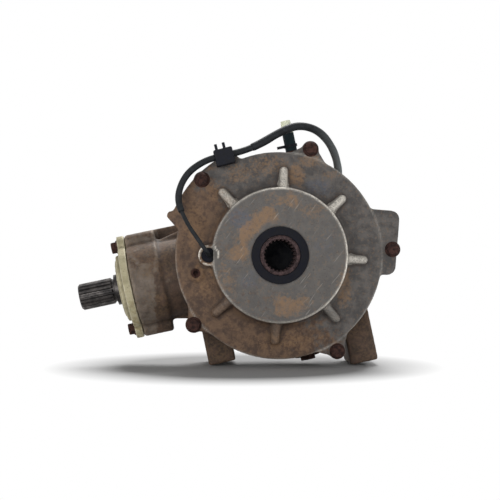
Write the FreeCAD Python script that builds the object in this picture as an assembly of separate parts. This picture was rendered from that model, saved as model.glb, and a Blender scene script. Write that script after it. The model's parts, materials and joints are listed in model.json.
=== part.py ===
"""Ring and pinion gear set: a front gearcase with bevel gears and an electrically engaged roller clutch.

The case frame has its Y axis on the output axis, away from the viewer, and its pinion pointing along -X.
The finished pieces are turned about Y by TILT, because the case rests on two feet of unequal height.
"""
import FreeCAD, Part
import math
import os

Vec = FreeCAD.Vector

# Driving sizes, in millimetres and degrees
TILT = 12.0                 # the case leans by this about the output axis as it rests

# Bevel gears
RING_TEETH = 36
PINION_TEETH = 11
MODULE = 3.9                # at the heel
FACE_WIDTH = 22.0
PRESSURE = 20.0
SHIFT = 0.35                # long-addendum pinion
BACKLASH = 0.32             # at the heel, shared by the two gears
RING_PITCH_R = MODULE * RING_TEETH / 2
RING_BODY = 6.0             # metal between the ring gear's back and its tooth root at the heel
RING_BORE_R = 42.0
RING_SCREWS = 8
RING_SCREW_R = 52.0

# Output cover
CAVITY_R = RING_PITCH_R + 4.8
RIM_R = CAVITY_R + 17.2     # outer radius of the cover and case flange
FLOOR_Z = -RIM_R - 7.8      # the surface that the feet rest on
JOINT_Y = 30.0              # joint face between cover and case
RING_BACK_Y = JOINT_Y + 2.0  # back face of the ring gear
COVER_FLANGE = 10.0         # flange thickness of the cover
CASE_FLANGE = 9.0           # flange thickness of the case
BOSS_R = 59.5               # raised round boss of the cover
BOSS_Y = -1.0               # its front face
FRONT_WALL = 7.0            # thickness of the boss front wall
COVER_STEP = 4.5            # depth of the recess inside the joint face
RIB_COUNT = 8               # rib places, one of them taken by the wire boss
RIB_FIRST = 30.0
RIB_WIDTH = 7.6
RIB_END_R = 79.0
LUG_R = 7.6                 # round lugs for the cover bolts
COVER_BOLTS = ((RIM_R + 6.6, 61.5), (RIM_R + 3.5, 123.5), (RIM_R + 5.0, 207.0), (RIM_R + 7.3, 289.4),
               (RIM_R + 9.3, -8.9))
TAB_ANGLE = -16.7           # the square tab at the right and its edges
TAB_REACH = RIM_R + 12.7
TAB_HIGH = 48.4
TAB_LOW = 9.5
TAB_CORNER = 8.0
POINT_LUG = (RIM_R + 13.5, 147.6)
CLIP_LUG = (RIM_R + 11.8, 104.5)
CLIP_LUG_DROP = 1.0         # how far its face lies behind the flange face
WIRE_BOSS = (BOSS_R + 2.7, 168.0)
WIRE_BOSS_R = 9.4
WIRE_HOLE_R = 6.4
WIRE_BOSS_Y = 1.0
SCREW_PLACE = (75.4, 180.0)
SCREW_R = 4.0

# Output seals, bearings and hubs
JOURNAL_R = 17.5            # hub journal under seal and bearing
SEAL_R = 25.0
SEAL_WIDTH = 7.0
SEAL_Y = 0.5                # front face of the front seal
BEARING_R = 27.5
BEARING_WIDTH = 10.0
FRONT_BEARING_Y = SEAL_Y + SEAL_WIDTH + 1.5
BALL_COUNT = 9
BALL_R = 3.0
SPLINE_BORE_R = 14.3        # major radius of the female spline
SPLINE_MINOR_R = 13.1
HUB_TEETH = 24
PILOT_LENGTH = 5.0          # plain pilot at the mouth of each hub
RACE_R = 25.35              # hub race under the rollers
HUB_GAP = 2.0               # space between the two hubs, filled by the washer
HUB_MIDDLE_Y = 62.0

# Roller clutch
CAM_SIDES = 14              # flats of the cam bore, one roller in each corner
ROLLER_R = 4.0
CAM_FLAT_R = 33.0
ROLLER_LENGTH = 24.0
CAGE_IN_R = 27.0
CAGE_OUT_R = 32.0
ROLLER_PITCH_R = (CAGE_IN_R + CAGE_OUT_R) / 2
DRUM_REAR_Y = 98.0
DRUM_FLANGE_R = 58.0
DRUM_FLANGE = 5.0
SKIRT_R = 48.0
SKIRT_WALL = 2.7
SKIRT_Y = 14.0
ARMATURE_THICK = 3.0
COIL_IN_R = 33.3
COIL_OUT_R = SKIRT_R - SKIRT_WALL - 0.7
COIL_Y = 6.5
COIL_LENGTH = 12.5
ARMATURE_Y = COIL_Y + COIL_LENGTH + 0.8
BUSH_WALL = 2.47
RUNNING_GAP = 0.05          # radial running clearance of a plain bush

# Case
WALL = 7.0
COVER_ORING_R = CAVITY_R + 5.7    # o-ring in the joint face: its radius and half its thickness
COVER_ORING = 1.3
CAVITY_REAR_Y = DRUM_REAR_Y - 12.0
REAR_WALL_Y = DRUM_REAR_Y - 3.0
REAR_BOSS_R = 38.0
REAR_BEARING_Y = DRUM_REAR_Y + 5.0
REAR_SEAL_Y = REAR_BEARING_Y + BEARING_WIDTH + 2.5
REAR_FACE_Y = REAR_SEAL_Y + SEAL_WIDTH + 2.0

# Pinion line, distances from the output axis
NECK_R = 38.0
PINION_BORE_R = 31.0
NECK_WALL = 4.0
SHAFT_R = 15.0
INNER_BEARING_S = 78.0
INNER_BEARING_WIDTH = 14.0
OUTER_BEARING_S = 110.0
OUTER_BEARING_WIDTH = 24.0
ROLLERS_PER_ROW = 12
BLOCK_S = OUTER_BEARING_S - 4.0
PLATE_S = OUTER_BEARING_S + OUTER_BEARING_WIDTH
PLATE_THICK = 7.0
EAR_R = 9.5
PLATE_RING_R = 30.4
EAR_V = PLATE_RING_R + 7.6
PLATE_RING_HIGH = 5.5
PLATE_ORING_R = 33.5        # o-ring between plate and block: its radius and half its thickness
PLATE_ORING = 0.9
INPUT_SEAL_R = 23.5
COLLAR_R = 14.0
COLLAR_END_S = PLATE_S + 16.5
INPUT_SPLINE_R = 12.1
INPUT_SPLINE_ROOT_R = 10.6
INPUT_TEETH = 18
INPUT_SPLINE_S = PLATE_S + 18.5
SHAFT_END_S = PLATE_S + 50.0

# Feet, in case coordinates: outer corner, width and length
FOOT_Y = 46.0
FOOT_LENGTH = 58.0
LEFT_FOOT_U = -81.5
LEFT_FOOT_WIDTH = 25.0
RIGHT_FOOT_U = 70.8
RIGHT_FOOT_WIDTH = 26.0
FOOT_HOLE_R = 4.2
FOOT_HOLE_DEPTH = 14.0
FOOT_HOLE_SPREAD = 36.0

# Fasteners
BOLT_R = 3.0
BOLT_FLAT = 10.0
BOLT_FLANGE_R = 7.0
BOLT_HEAD = 6.0
BOLT_GRIP = 8.0             # thread length in the case

# Plugs and vent
PLUG_R = 9.0
DRAIN_U = 9.0
DRAIN_END_V = FLOOR_Z - 0.6
FILL_PLACE = (63.0, 60.0)
VENT_U = 33.0
VENT_Y = 55.0
VENT_FACE_V = CAVITY_R + 5.0

# Two-wire lead, in the resting frame, chosen by hand from the wire boss to the connector
WIRE_RADIUS = 1.8
SLEEVE_RADIUS = 3.0
REAR_SLEEVE_RADIUS = 3.7
WIRE_ROUTE = ((-62.2, 3.0, 0.0), (-62.2, -4.5, 0.0), (-65.0, -10.0, 4.5), (-72.0, -9.0, 14.5),
              (-81.0, -2.0, 27.5))
SLEEVE_ROUTE = ((-90.6, 8.0, 49.0), (-83.5, 10.5, 70.0), (-67.0, 13.0, 83.0), (-49.0, 15.0, 88.2),
                (-32.0, 18.5, 92.2))
REAR_ROUTE = ((-16.0, 22.5, 99.5), (1.0, 28.0, 110.5), (19.0, 37.0, 118.5), (39.0, 50.0, 114.5),
              (53.0, 65.0, 99.5), (59.5, 81.0, 82.5), (61.5, 98.0, 65.0), (60.5, 111.0, 45.0),
              (58.0, 116.0, 22.0), (56.0, 117.5, -2.0))
CLIP_FRONT_Y = 9.0

AXIS_Y = Vec(0, 1, 0)
ORIGIN = Vec(0, 0, 0)


def polar(place):
    """Point (x, z) of a (radius, degrees) pair in the case frame."""
    radius, degrees = place
    turn = math.radians(degrees)
    return radius * math.cos(turn), radius * math.sin(turn)


def rod(start, end, radius):
    """Solid cylinder between two points."""
    along = end - start
    return Part.makeCylinder(radius, along.Length, start, along)


def rod_y(x, z, y0, y1, radius):
    return rod(Vec(x, y0, z), Vec(x, y1, z), radius)


def ring_y(inner, outer, y0, y1):
    """Plain ring on the output axis."""
    return rod_y(0, 0, y0, y1, outer).cut(rod_y(0, 0, y0 - 1, y1 + 1, inner))


def turned(profile):
    """Solid of a closed (radius, y) outline turned about the output axis."""
    points = [Vec(r, y, 0) for r, y in profile]
    points.append(points[0])
    face = Part.Face(Part.makePolygon(points))
    return face.revolve(ORIGIN, AXIS_Y, 360)


def turned_pinion(profile):
    """Solid of a closed (distance, radius) outline turned about the pinion axis."""
    points = [Vec(-s, PINION_Y + r, 0) for s, r in profile]
    points.append(points[0])
    face = Part.Face(Part.makePolygon(points))
    return face.revolve(Vec(0, PINION_Y, 0), Vec(1, 0, 0), 360)


def prism(points, along):
    """Solid of a flat outline pushed along a vector."""
    closed = list(points) + [points[0]]
    return Part.Face(Part.makePolygon(closed)).extrude(along)


def joined(solids):
    """One solid out of overlapping ones, without the seams between them."""
    first = solids[0]
    return first.multiFuse(solids[1:]).removeSplitter()


def fused(solids):
    """One casting out of overlapping solids, joined one after another with their seams kept."""
    body = solids[0]
    for solid in solids[1:]:
        body = body.fuse(solid)
    return body


def spun(solid, degrees, centre=ORIGIN, axis=AXIS_Y):
    copy = solid.copy()
    copy.rotate(centre, axis, degrees)
    return copy


def around(solid, count):
    """Copies of a solid evenly spaced about the output axis."""
    return [spun(solid, 360.0 * i / count) for i in range(count)]


# Sizes that follow from the driving ones
RING_ANGLE = math.atan2(RING_TEETH, PINION_TEETH)
PINION_ANGLE = math.pi / 2 - RING_ANGLE
CONE = MODULE * RING_TEETH / 2 / math.sin(RING_ANGLE)
RING_ROOT = (1.25 + SHIFT) * MODULE
PINION_Y = (RING_BACK_Y + RING_BODY + RING_ROOT * math.sin(RING_ANGLE) + CONE * math.cos(RING_ANGLE))
APEX = Vec(0, PINION_Y, 0)
TOE = (CONE - FACE_WIDTH) / CONE
FRONT_RACE_Y = JOINT_Y
FRONT_RACE_END = HUB_MIDDLE_Y - HUB_GAP / 2
REAR_RACE_Y = HUB_MIDDLE_Y + HUB_GAP / 2
REAR_RACE_END = DRUM_REAR_Y - 4.0
DRUM_FRONT_Y = ARMATURE_Y + ARMATURE_THICK + 1.2
BOSS_BORE_R = SKIRT_R + RUNNING_GAP + BUSH_WALL
FLANGE_FRONT_Y = JOINT_Y - COVER_FLANGE


def involute(turn):
    return math.tan(turn) - turn


class Bevel:
    """One straight bevel gear: teeth drawn on the back cone and drawn in towards the apex."""

    def __init__(self, teeth, cone_angle, axis, shift):
        self.teeth = teeth
        self.angle = cone_angle
        self.axis = axis
        self.pitch = MODULE * teeth / 2 / math.cos(cone_angle)
        self.base = self.pitch * math.cos(math.radians(PRESSURE))
        self.tip = self.pitch + (1 + shift) * MODULE
        self.root = self.pitch - (1.25 - shift) * MODULE
        thick = MODULE * (math.pi / 2 + 2 * shift * math.tan(math.radians(PRESSURE))) - BACKLASH / 2
        self.half = thick / 2 / self.pitch

    def half_angle(self, radius):
        """Half the tooth's angle on the back cone at a radius, constant below the base circle."""
        at = max(radius, self.base)
        pressure = math.acos(self.base / at)
        return self.half + involute(math.radians(PRESSURE)) - involute(pressure)

    def section(self, outward, scale):
        """Closed wire of one tooth in the plane across its pitch line, at a share of the cone distance."""
        line = self.axis * math.cos(self.angle) + outward * math.sin(self.angle)
        up = outward * math.cos(self.angle) - self.axis * math.sin(self.angle)
        side = line.cross(up)
        middle = APEX + line * (CONE * scale) - up * (self.pitch * scale)

        def at(radius, turn):
            return middle + (up * math.cos(turn) + side * math.sin(turn)) * (radius * scale)

        low = max(self.root, self.base)
        radii = [low + (self.tip - low) * i / 3.0 for i in range(4)]
        left = Part.BSplineCurve()
        left.interpolate([at(r, self.half_angle(r)) for r in radii])
        right = Part.BSplineCurve()
        right.interpolate([at(r, -self.half_angle(r)) for r in reversed(radii)])
        foot = self.root - 0.25 * MODULE
        left_foot = at(foot, self.half_angle(foot))
        right_foot = at(foot, -self.half_angle(foot))
        edges = [Part.makeLine(left_foot, left.StartPoint), left.toShape(),
                 Part.makeLine(left.EndPoint, right.StartPoint), right.toShape(),
                 Part.makeLine(right.EndPoint, right_foot), Part.makeLine(right_foot, left_foot)]
        return Part.Wire(edges)

    def tooth(self, outward):
        return Part.makeLoft([self.section(outward, 1.0), self.section(outward, TOE)], True, True)


def cone_point(angle, along, lift):
    """(distance along the gear's axis from the apex, radius) of a point by its cone line."""
    return (along * math.cos(angle) - lift * math.sin(angle), along * math.sin(angle) + lift * math.cos(angle))


def ring_gear():
    gear = Bevel(RING_TEETH, RING_ANGLE, Vec(0, -1, 0), -SHIFT)
    heel_s, heel_r = cone_point(RING_ANGLE, CONE, gear.root - gear.pitch)
    toe_s, toe_r = cone_point(RING_ANGLE, CONE * TOE, (gear.root - gear.pitch) * TOE)
    slope = (toe_s - heel_s) / (toe_r - heel_r)
    outer = heel_r + 1.6
    inner = toe_r - 1.4
    outer_y = PINION_Y - heel_s - slope * (outer - heel_r)
    inner_y = PINION_Y - toe_s - slope * (inner - toe_r)
    blank = turned([(RING_BORE_R, RING_BACK_Y), (outer - 1, RING_BACK_Y), (outer, RING_BACK_Y + 1),
                    (outer, outer_y), (inner, inner_y), (RING_BORE_R, inner_y)])
    teeth = []
    for i in range(RING_TEETH):
        turn = math.pi + 2 * math.pi * (i + 0.5) / RING_TEETH
        teeth.append(gear.tooth(Vec(math.cos(turn), 0, math.sin(turn))))
    solid = blank.multiFuse(teeth)
    hole = rod_y(RING_SCREW_R, 0, RING_BACK_Y - 1, RING_BACK_Y + 9.0, BOLT_R)
    for cut in around(hole, RING_SCREWS):
        solid = solid.cut(cut)
    return solid


def ring_gear_screws():
    """Countersunk screws from the drum flange into the ring gear."""
    head_y = RING_BACK_Y - DRUM_FLANGE
    shank = rod_y(RING_SCREW_R, 0, head_y, RING_BACK_Y + 8.5, BOLT_R)
    head = Part.makeCone(BOLT_R * 2, BOLT_R, BOLT_R, Vec(RING_SCREW_R, head_y, 0), AXIS_Y)
    socket = hex_prism(Vec(RING_SCREW_R, head_y - 1, 0), AXIS_Y, 4.0, 3.4)
    return around(shank.fuse(head).removeSplitter().cut(socket), RING_SCREWS)


def hex_prism(start, along, flat, length, turn=0.0):
    """Hexagonal prism, given by its width across flats."""
    direction = Vec(along)
    direction.normalize()
    guide = Vec(0, 0, 1) if abs(direction.z) < 0.9 else Vec(1, 0, 0)
    side = direction.cross(guide)
    side.normalize()
    up = side.cross(direction)
    corner = flat / math.sqrt(3)
    points = []
    for i in range(6):
        at = math.radians(60 * i + turn)
        points.append(start + side * (corner * math.cos(at)) + up * (corner * math.sin(at)))
    return prism(points, direction * length)


def flange_bolt(seat, into, shank):
    """Hex flange bolt: seat is the point under its head, into the way it screws."""
    out = into * -1
    flange = Part.makeCone(BOLT_FLANGE_R, BOLT_FLANGE_R - 1.2, 1.6, seat, out)
    head = hex_prism(seat + out * 1.2, out, BOLT_FLAT, BOLT_HEAD - 1.2)
    round_off = Part.makeCone(BOLT_FLAT * 0.78, BOLT_FLAT * 0.46, BOLT_HEAD * 0.8, seat + out * 1.4, out)
    stem = rod(seat, seat + into * shank, BOLT_R)
    return flange.fuse([head.common(round_off), stem]).removeSplitter()


def cam_bore(y0, y1):
    """Prism with CAM_SIDES flats; a roller sits in each corner."""
    corner = CAM_FLAT_R / math.cos(math.pi / CAM_SIDES)
    points = []
    for i in range(CAM_SIDES):
        x, z = polar((corner, 360.0 * i / CAM_SIDES))
        points.append(Vec(x, y0, z))
    return prism(points, AXIS_Y * (y1 - y0))


def clutch_drum():
    skirt_in = SKIRT_R - SKIRT_WALL
    body = turned([(20.0, DRUM_FRONT_Y), (skirt_in, DRUM_FRONT_Y), (skirt_in, SKIRT_Y), (SKIRT_R, SKIRT_Y),
                   (SKIRT_R, RING_BACK_Y - DRUM_FLANGE), (DRUM_FLANGE_R, RING_BACK_Y - DRUM_FLANGE),
                   (DRUM_FLANGE_R, RING_BACK_Y), (RING_BORE_R, RING_BACK_Y),
                   (RING_BORE_R, DRUM_REAR_Y - 1), (RING_BORE_R - 1, DRUM_REAR_Y), (20.0, DRUM_REAR_Y)])
    body = body.cut(cam_bore(DRUM_FRONT_Y - 1, REAR_RACE_END))
    body = body.cut(rod_y(0, 0, 0, DRUM_REAR_Y + 1, CAGE_IN_R + 1))
    hole = rod_y(RING_SCREW_R, 0, RING_BACK_Y - DRUM_FLANGE - 1, RING_BACK_Y + 1, BOLT_R + 0.02)
    sink = Part.makeCone(BOLT_R * 2 + 0.02, BOLT_R + 0.02, BOLT_R,
                         Vec(RING_SCREW_R, RING_BACK_Y - DRUM_FLANGE, 0), AXIS_Y)
    for cut in around(hole.fuse(sink), RING_SCREWS):
        body = body.cut(cut)
    return body


def roller_rows():
    """Start of each row of rollers along the output axis."""
    front = (FRONT_RACE_Y + FRONT_RACE_END - ROLLER_LENGTH) / 2 + 1.5
    rear = (REAR_RACE_Y + REAR_RACE_END - ROLLER_LENGTH) / 2 - 1.5
    return front, rear


def rollers():
    found = []
    for start in roller_rows():
        one = rod_y(ROLLER_PITCH_R, 0, start, start + ROLLER_LENGTH, ROLLER_R)
        found += around(one, CAM_SIDES)
    return found


def roll_cage():
    front, rear = roller_rows()
    cage = ring_y(CAGE_IN_R, CAGE_OUT_R, DRUM_FRONT_Y + 0.6, REAR_RACE_END - 0.6)
    width = ROLLER_R + 0.15
    slots = []
    for start in (front, rear):
        slot = Part.makeBox(CAGE_OUT_R, ROLLER_LENGTH + 0.6, 2 * width,
                            Vec(CAGE_IN_R - 4, start - 0.3, -width))
        slots += around(slot, CAM_SIDES)
    tab = Part.makeBox(2.4, ARMATURE_THICK + 3.0, 6.0, Vec(28.6, ARMATURE_Y, -3.0))
    tabs = [spun(tab, angle + 180.0 / CAM_SIDES) for angle in (0, 360 * 5 / CAM_SIDES, 360 * 9 / CAM_SIDES)]
    return joined([cage.cut(slots)] + tabs)


def armature_plate():
    plate = ring_y(26.0, 44.0, ARMATURE_Y, ARMATURE_Y + ARMATURE_THICK)
    slot = Part.makeBox(2.8, 10.0, 6.4, Vec(28.4, ARMATURE_Y - 3, -3.2))
    cuts = [spun(slot, angle + 180.0 / CAM_SIDES) for angle in (0, 360 * 5 / CAM_SIDES, 360 * 9 / CAM_SIDES)]
    return plate.cut(cuts)


def splined_bore(y0, y1):
    """Female spline: HUB_TEETH teeth between the minor and major radius."""
    points = []
    for i in range(HUB_TEETH):
        step = 360.0 / HUB_TEETH
        for radius, share in ((SPLINE_MINOR_R, -0.32), (SPLINE_BORE_R, -0.18),
                              (SPLINE_BORE_R, 0.18), (SPLINE_MINOR_R, 0.32)):
            x, z = polar((radius, step * (i + share)))
            points.append(Vec(x, y0, z))
    return prism(points, AXIS_Y * (y1 - y0))


def front_output_hub():
    race_in = FRONT_RACE_Y
    body = turned([(0, 0), (JOURNAL_R - 1.2, 0), (JOURNAL_R, 1.2), (JOURNAL_R, FRONT_BEARING_Y + BEARING_WIDTH),
                   (JOURNAL_R + 3, FRONT_BEARING_Y + BEARING_WIDTH), (JOURNAL_R + 3, race_in - 2),
                   (RACE_R, race_in), (RACE_R, FRONT_RACE_END), (0, FRONT_RACE_END)])
    return hollow_hub(body, 0.0, 1.0)


def rear_output_hub():
    shoulder = REAR_BEARING_Y
    body = turned([(0, REAR_RACE_Y), (RACE_R, REAR_RACE_Y), (RACE_R, REAR_RACE_END),
                   (JOURNAL_R + 3, REAR_RACE_END + 2), (JOURNAL_R + 3, shoulder), (JOURNAL_R, shoulder),
                   (JOURNAL_R, REAR_FACE_Y - 0.7), (JOURNAL_R - 1.2, REAR_FACE_Y + 0.5),
                   (0, REAR_FACE_Y + 0.5)])
    return hollow_hub(body, REAR_FACE_Y + 0.5, -1.0)


def hollow_hub(body, mouth, way):
    """Cuts the pilot, the spline and the oil-plug seat into a hub, from its mouth inwards."""
    pilot = rod_y(0, 0, mouth - way, mouth + way * PILOT_LENGTH, SPLINE_BORE_R + 0.1)
    spline_end = mouth + way * 44.0
    low, high = sorted((mouth, spline_end))
    seat = rod_y(0, 0, spline_end - way, mouth + way * 52.0, SPLINE_BORE_R + 0.5)
    return body.cut([pilot, splined_bore(low, high), seat])


def hub_plug(mouth, way):
    """Pressed cup that keeps the oil out of the splined bore."""
    start = mouth + way * 46.0
    cup = rod_y(0, 0, start, start + way * 4.0, SPLINE_BORE_R + 0.5)
    return cup.cut(rod_y(0, 0, start - way, start + way * 2.6, SPLINE_BORE_R - 1.0))


def ball_bearing(y0):
    """Outer race, inner race and balls of an output bearing."""
    half = (JOURNAL_R + BEARING_R) / 2
    y1 = y0 + BEARING_WIDTH
    middle = y0 + BEARING_WIDTH / 2
    track = Part.makeTorus(half, BALL_R, Vec(0, middle, 0), AXIS_Y)
    outer = ring_y(half + 1.6, BEARING_R, y0, y1).cut(track)
    inner = ring_y(JOURNAL_R, half - 1.6, y0, y1).cut(track)
    ball = Part.makeSphere(BALL_R - 0.04, Vec(half, middle, 0))
    return outer, inner, around(ball, BALL_COUNT)


def lip_seal(y0, inner, outer, way):
    """Rubber lip seal: stiff outer ring and a thin web to the lip; way points to the oil side."""
    y1 = y0 + way * SEAL_WIDTH
    web = y0 + way * 2.6
    return turned([(outer, y0), (outer, y1), (outer - 2.2, y1), (outer - 2.2, web + way * 1.2),
                   (inner + 1.8, web + way * 1.2), (inner + 1.4, y1 - way * 1.0), (inner, y1 - way * 2.2),
                   (inner + 0.7, web), (inner, y0 + way * 0.8), (inner + 0.5, y0)])


def lug_web(place, radius, root_r, spread, y0, y1):
    """Round lug and the flared web that carries it from the rim."""
    x, z = polar(place)
    turn = math.radians(place[1])
    side = Vec(-math.sin(turn), 0, math.cos(turn))
    centre = Vec(x, y0, z)
    left = polar((root_r, place[1] + spread))
    right = polar((root_r, place[1] - spread))
    inner = polar((root_r - 14, place[1]))
    web = prism([centre + side * radius, Vec(left[0], y0, left[1]), Vec(inner[0], y0, inner[1]),
                 Vec(right[0], y0, right[1]), centre - side * radius], AXIS_Y * (y1 - y0))
    return [rod_y(x, z, y0, y1, radius), web]


def tab_plate(y0, y1):
    """Square tab beside the right-hand bolt, with rounded outer corners."""
    box = Part.makeBox(60.0, y1 - y0, TAB_HIGH + TAB_LOW, Vec(TAB_REACH - 60.0, y0, -TAB_LOW))
    corners = [e for e in box.Edges if abs(e.Vertexes[0].Point.x - TAB_REACH) < 0.01
               and abs(e.Vertexes[1].Point.x - TAB_REACH) < 0.01
               and abs(e.Vertexes[0].Point.y - e.Vertexes[1].Point.y) > 1]
    return spun(box.makeFillet(TAB_CORNER, corners), -TAB_ANGLE)


def flange_outline(y0, y1):
    """Rim disc with its bolt lugs and tab: the outline that cover and case share."""
    solids = [rod_y(0, 0, y0, y1, RIM_R), tab_plate(y0, y1)]
    for place in COVER_BOLTS[:-1]:
        solids += lug_web(place, LUG_R, RIM_R - 0.4, 10.5, y0, y1)
    return solids


def pointed_lug(place, y0, y1, width):
    """Small pointed ear on the rim, with a blunt nose."""
    tip_x, tip_z = polar(place)
    left = polar((RIM_R - 1, place[1] + width))
    right = polar((RIM_R - 1, place[1] - width))
    inner = polar((RIM_R - 14, place[1]))
    turn = math.radians(place[1])
    side = Vec(-math.sin(turn), 0, math.cos(turn)) * 2.2
    tip = Vec(tip_x, y0, tip_z)
    return prism([tip + side, Vec(left[0], y0, left[1]), Vec(inner[0], y0, inner[1]),
                  Vec(right[0], y0, right[1]), tip - side], AXIS_Y * (y1 - y0))


def cover_rib(angle):
    """Gusset from the boss edge down to the rim, with a round top and a round end."""
    half = RIB_WIDTH / 2
    inner = Vec(BOSS_R - 3, BOSS_Y + half + 2.6, 0)
    outer = Vec(RIB_END_R - half, FLANGE_FRONT_Y - 3.5, 0)
    low = FLANGE_FRONT_Y + 2
    web = prism([inner + Vec(0, 0, -half), outer + Vec(0, 0, -half), Vec(outer.x, low, -half),
                 Vec(inner.x, low, -half)], Vec(0, 0, RIB_WIDTH))
    nose = rod_y(outer.x, 0, outer.y, low, half)
    rib = joined([web, nose, rod(inner, outer, half), Part.makeSphere(half, outer)])
    return spun(rib, -angle)


def output_cover():
    boss = turned([(0, BOSS_Y), (BOSS_R - 1.5, BOSS_Y), (BOSS_R, BOSS_Y + 1.2), (BOSS_R + 1.2, FLANGE_FRONT_Y - 6),
                   (BOSS_R + 5, FLANGE_FRONT_Y - 2.4), (RIM_R - 9, FLANGE_FRONT_Y), (RIM_R, FLANGE_FRONT_Y),
                   (RIM_R, JOINT_Y), (0, JOINT_Y)])
    solids = [boss] + flange_outline(FLANGE_FRONT_Y, JOINT_Y)
    solids.append(pointed_lug(POINT_LUG, FLANGE_FRONT_Y + 1, JOINT_Y, 6.5))
    solids.append(pointed_lug(CLIP_LUG, FLANGE_FRONT_Y + CLIP_LUG_DROP, JOINT_Y, 5.5))
    pitch = 360.0 / RIB_COUNT
    for i in range(RIB_COUNT):
        angle = RIB_FIRST + pitch * i
        if abs(angle - WIRE_BOSS[1]) > pitch / 2:
            solids.append(cover_rib(angle))
    wire_x, wire_z = polar(WIRE_BOSS)
    solids.append(rod_y(wire_x, wire_z, WIRE_BOSS_Y, FLANGE_FRONT_Y + 2, WIRE_BOSS_R))
    screw_x, screw_z = polar(SCREW_PLACE)
    solids.append(Part.makeCone(SCREW_R + 3.4, SCREW_R + 2.4, 4.0,
                                Vec(screw_x, FLANGE_FRONT_Y + 1, screw_z), Vec(0, -1, 0)))
    body = joined(solids)
    bearing_end = FRONT_BEARING_Y + BEARING_WIDTH
    seat_r = COIL_IN_R - 0.3
    cavity = turned([(seat_r, BOSS_Y + FRONT_WALL), (BOSS_BORE_R, BOSS_Y + FRONT_WALL),
                     (BOSS_BORE_R, JOINT_Y - COVER_STEP), (CAVITY_R, JOINT_Y - COVER_STEP), (CAVITY_R, JOINT_Y + 1),
                     (0, JOINT_Y + 1), (0, bearing_end - 0.4), (seat_r, bearing_end - 0.4)])
    seal_end = SEAL_Y + SEAL_WIDTH
    bore = turned([(0, BOSS_Y - 1), (SEAL_R, BOSS_Y - 1), (SEAL_R, seal_end), (SEAL_R - 1.5, seal_end),
                   (SEAL_R - 1.5, FRONT_BEARING_Y), (BEARING_R, FRONT_BEARING_Y), (BEARING_R, JOINT_Y),
                   (0, JOINT_Y)])
    cuts = [cavity, bore]
    for place in COVER_BOLTS:
        x, z = polar(place)
        cuts.append(rod_y(x, z, 0, JOINT_Y + 1, BOLT_R + 0.2))
    cuts.append(rod_y(wire_x, wire_z, WIRE_BOSS_Y - 1, BOSS_Y + FRONT_WALL + 7.5, WIRE_HOLE_R))
    inward = Vec(-wire_x, 0, -wire_z)
    inward.normalize()
    passage = Vec(wire_x, BOSS_Y + FRONT_WALL + 4.0, wire_z)
    cuts.append(rod(passage, passage + inward * (WIRE_BOSS[0] - COIL_OUT_R), 2.6))
    cuts.append(rod_y(screw_x, screw_z, 0, JOINT_Y - 5.0, SCREW_R))
    return body.cut(cuts)


def cover_bolts():
    found = []
    for place in COVER_BOLTS:
        x, z = polar(place)
        found.append(flange_bolt(Vec(x, FLANGE_FRONT_Y, z), AXIS_Y, COVER_FLANGE + BOLT_GRIP))
    return found


def backlash_screw():
    x, z = polar(SCREW_PLACE)
    screw = rod_y(x, z, FLANGE_FRONT_Y - 1.4, JOINT_Y - 5.0, SCREW_R)
    return screw.cut(hex_prism(Vec(x, FLANGE_FRONT_Y - 2.4, z), AXIS_Y, 4.6, 5.0))


def cover_oring():
    return turned(cord_section(COVER_ORING_R, JOINT_Y + COVER_ORING, COVER_ORING))


def foot(corner_u, width, end_v):
    """Mounting foot: a block along Y with a flat bottom; corner_u is its outer side."""
    inner_u = corner_u - math.copysign(width, corner_u)
    low_u, high_u = sorted((corner_u, inner_u))
    box = Part.makeBox(high_u - low_u, FOOT_LENGTH, -end_v - 20.0, Vec(low_u, FOOT_Y, end_v))
    holes = []
    for offset in (-FOOT_HOLE_SPREAD / 2, FOOT_HOLE_SPREAD / 2):
        at = Vec((low_u + high_u) / 2, FOOT_Y + FOOT_LENGTH / 2 + offset, end_v - 1)
        holes.append(rod(at, at + Vec(0, 0, FOOT_HOLE_DEPTH + 1), FOOT_HOLE_R))
    return box, holes


def foot_level(u):
    """Height in the case frame at which a point of that u lies on the floor."""
    turn = math.radians(TILT)
    return (FLOOR_Z - u * math.sin(turn)) / math.cos(turn)


LEFT_FOOT_V = foot_level(LEFT_FOOT_U)
RIGHT_FOOT_V = foot_level(RIGHT_FOOT_U - RIGHT_FOOT_WIDTH)


def ear_outline(s0, s1, grow=0.0):
    """Round block with an ear above and below, around the pinion axis."""
    main = rod(Vec(-s1, PINION_Y, 0), Vec(-s0, PINION_Y, 0), NECK_R + grow)
    solids = [main]
    for side in (-1, 1):
        centre = Vec(-s1, PINION_Y, side * EAR_V)
        solids.append(rod(centre, centre + Vec(s1 - s0, 0, 0), EAR_R + grow))
        half = EAR_R + grow
        solids.append(Part.makeBox(s1 - s0, 2 * half, EAR_V, Vec(-s1, PINION_Y - half, min(0, side * EAR_V))))
    return joined(solids)


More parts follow.
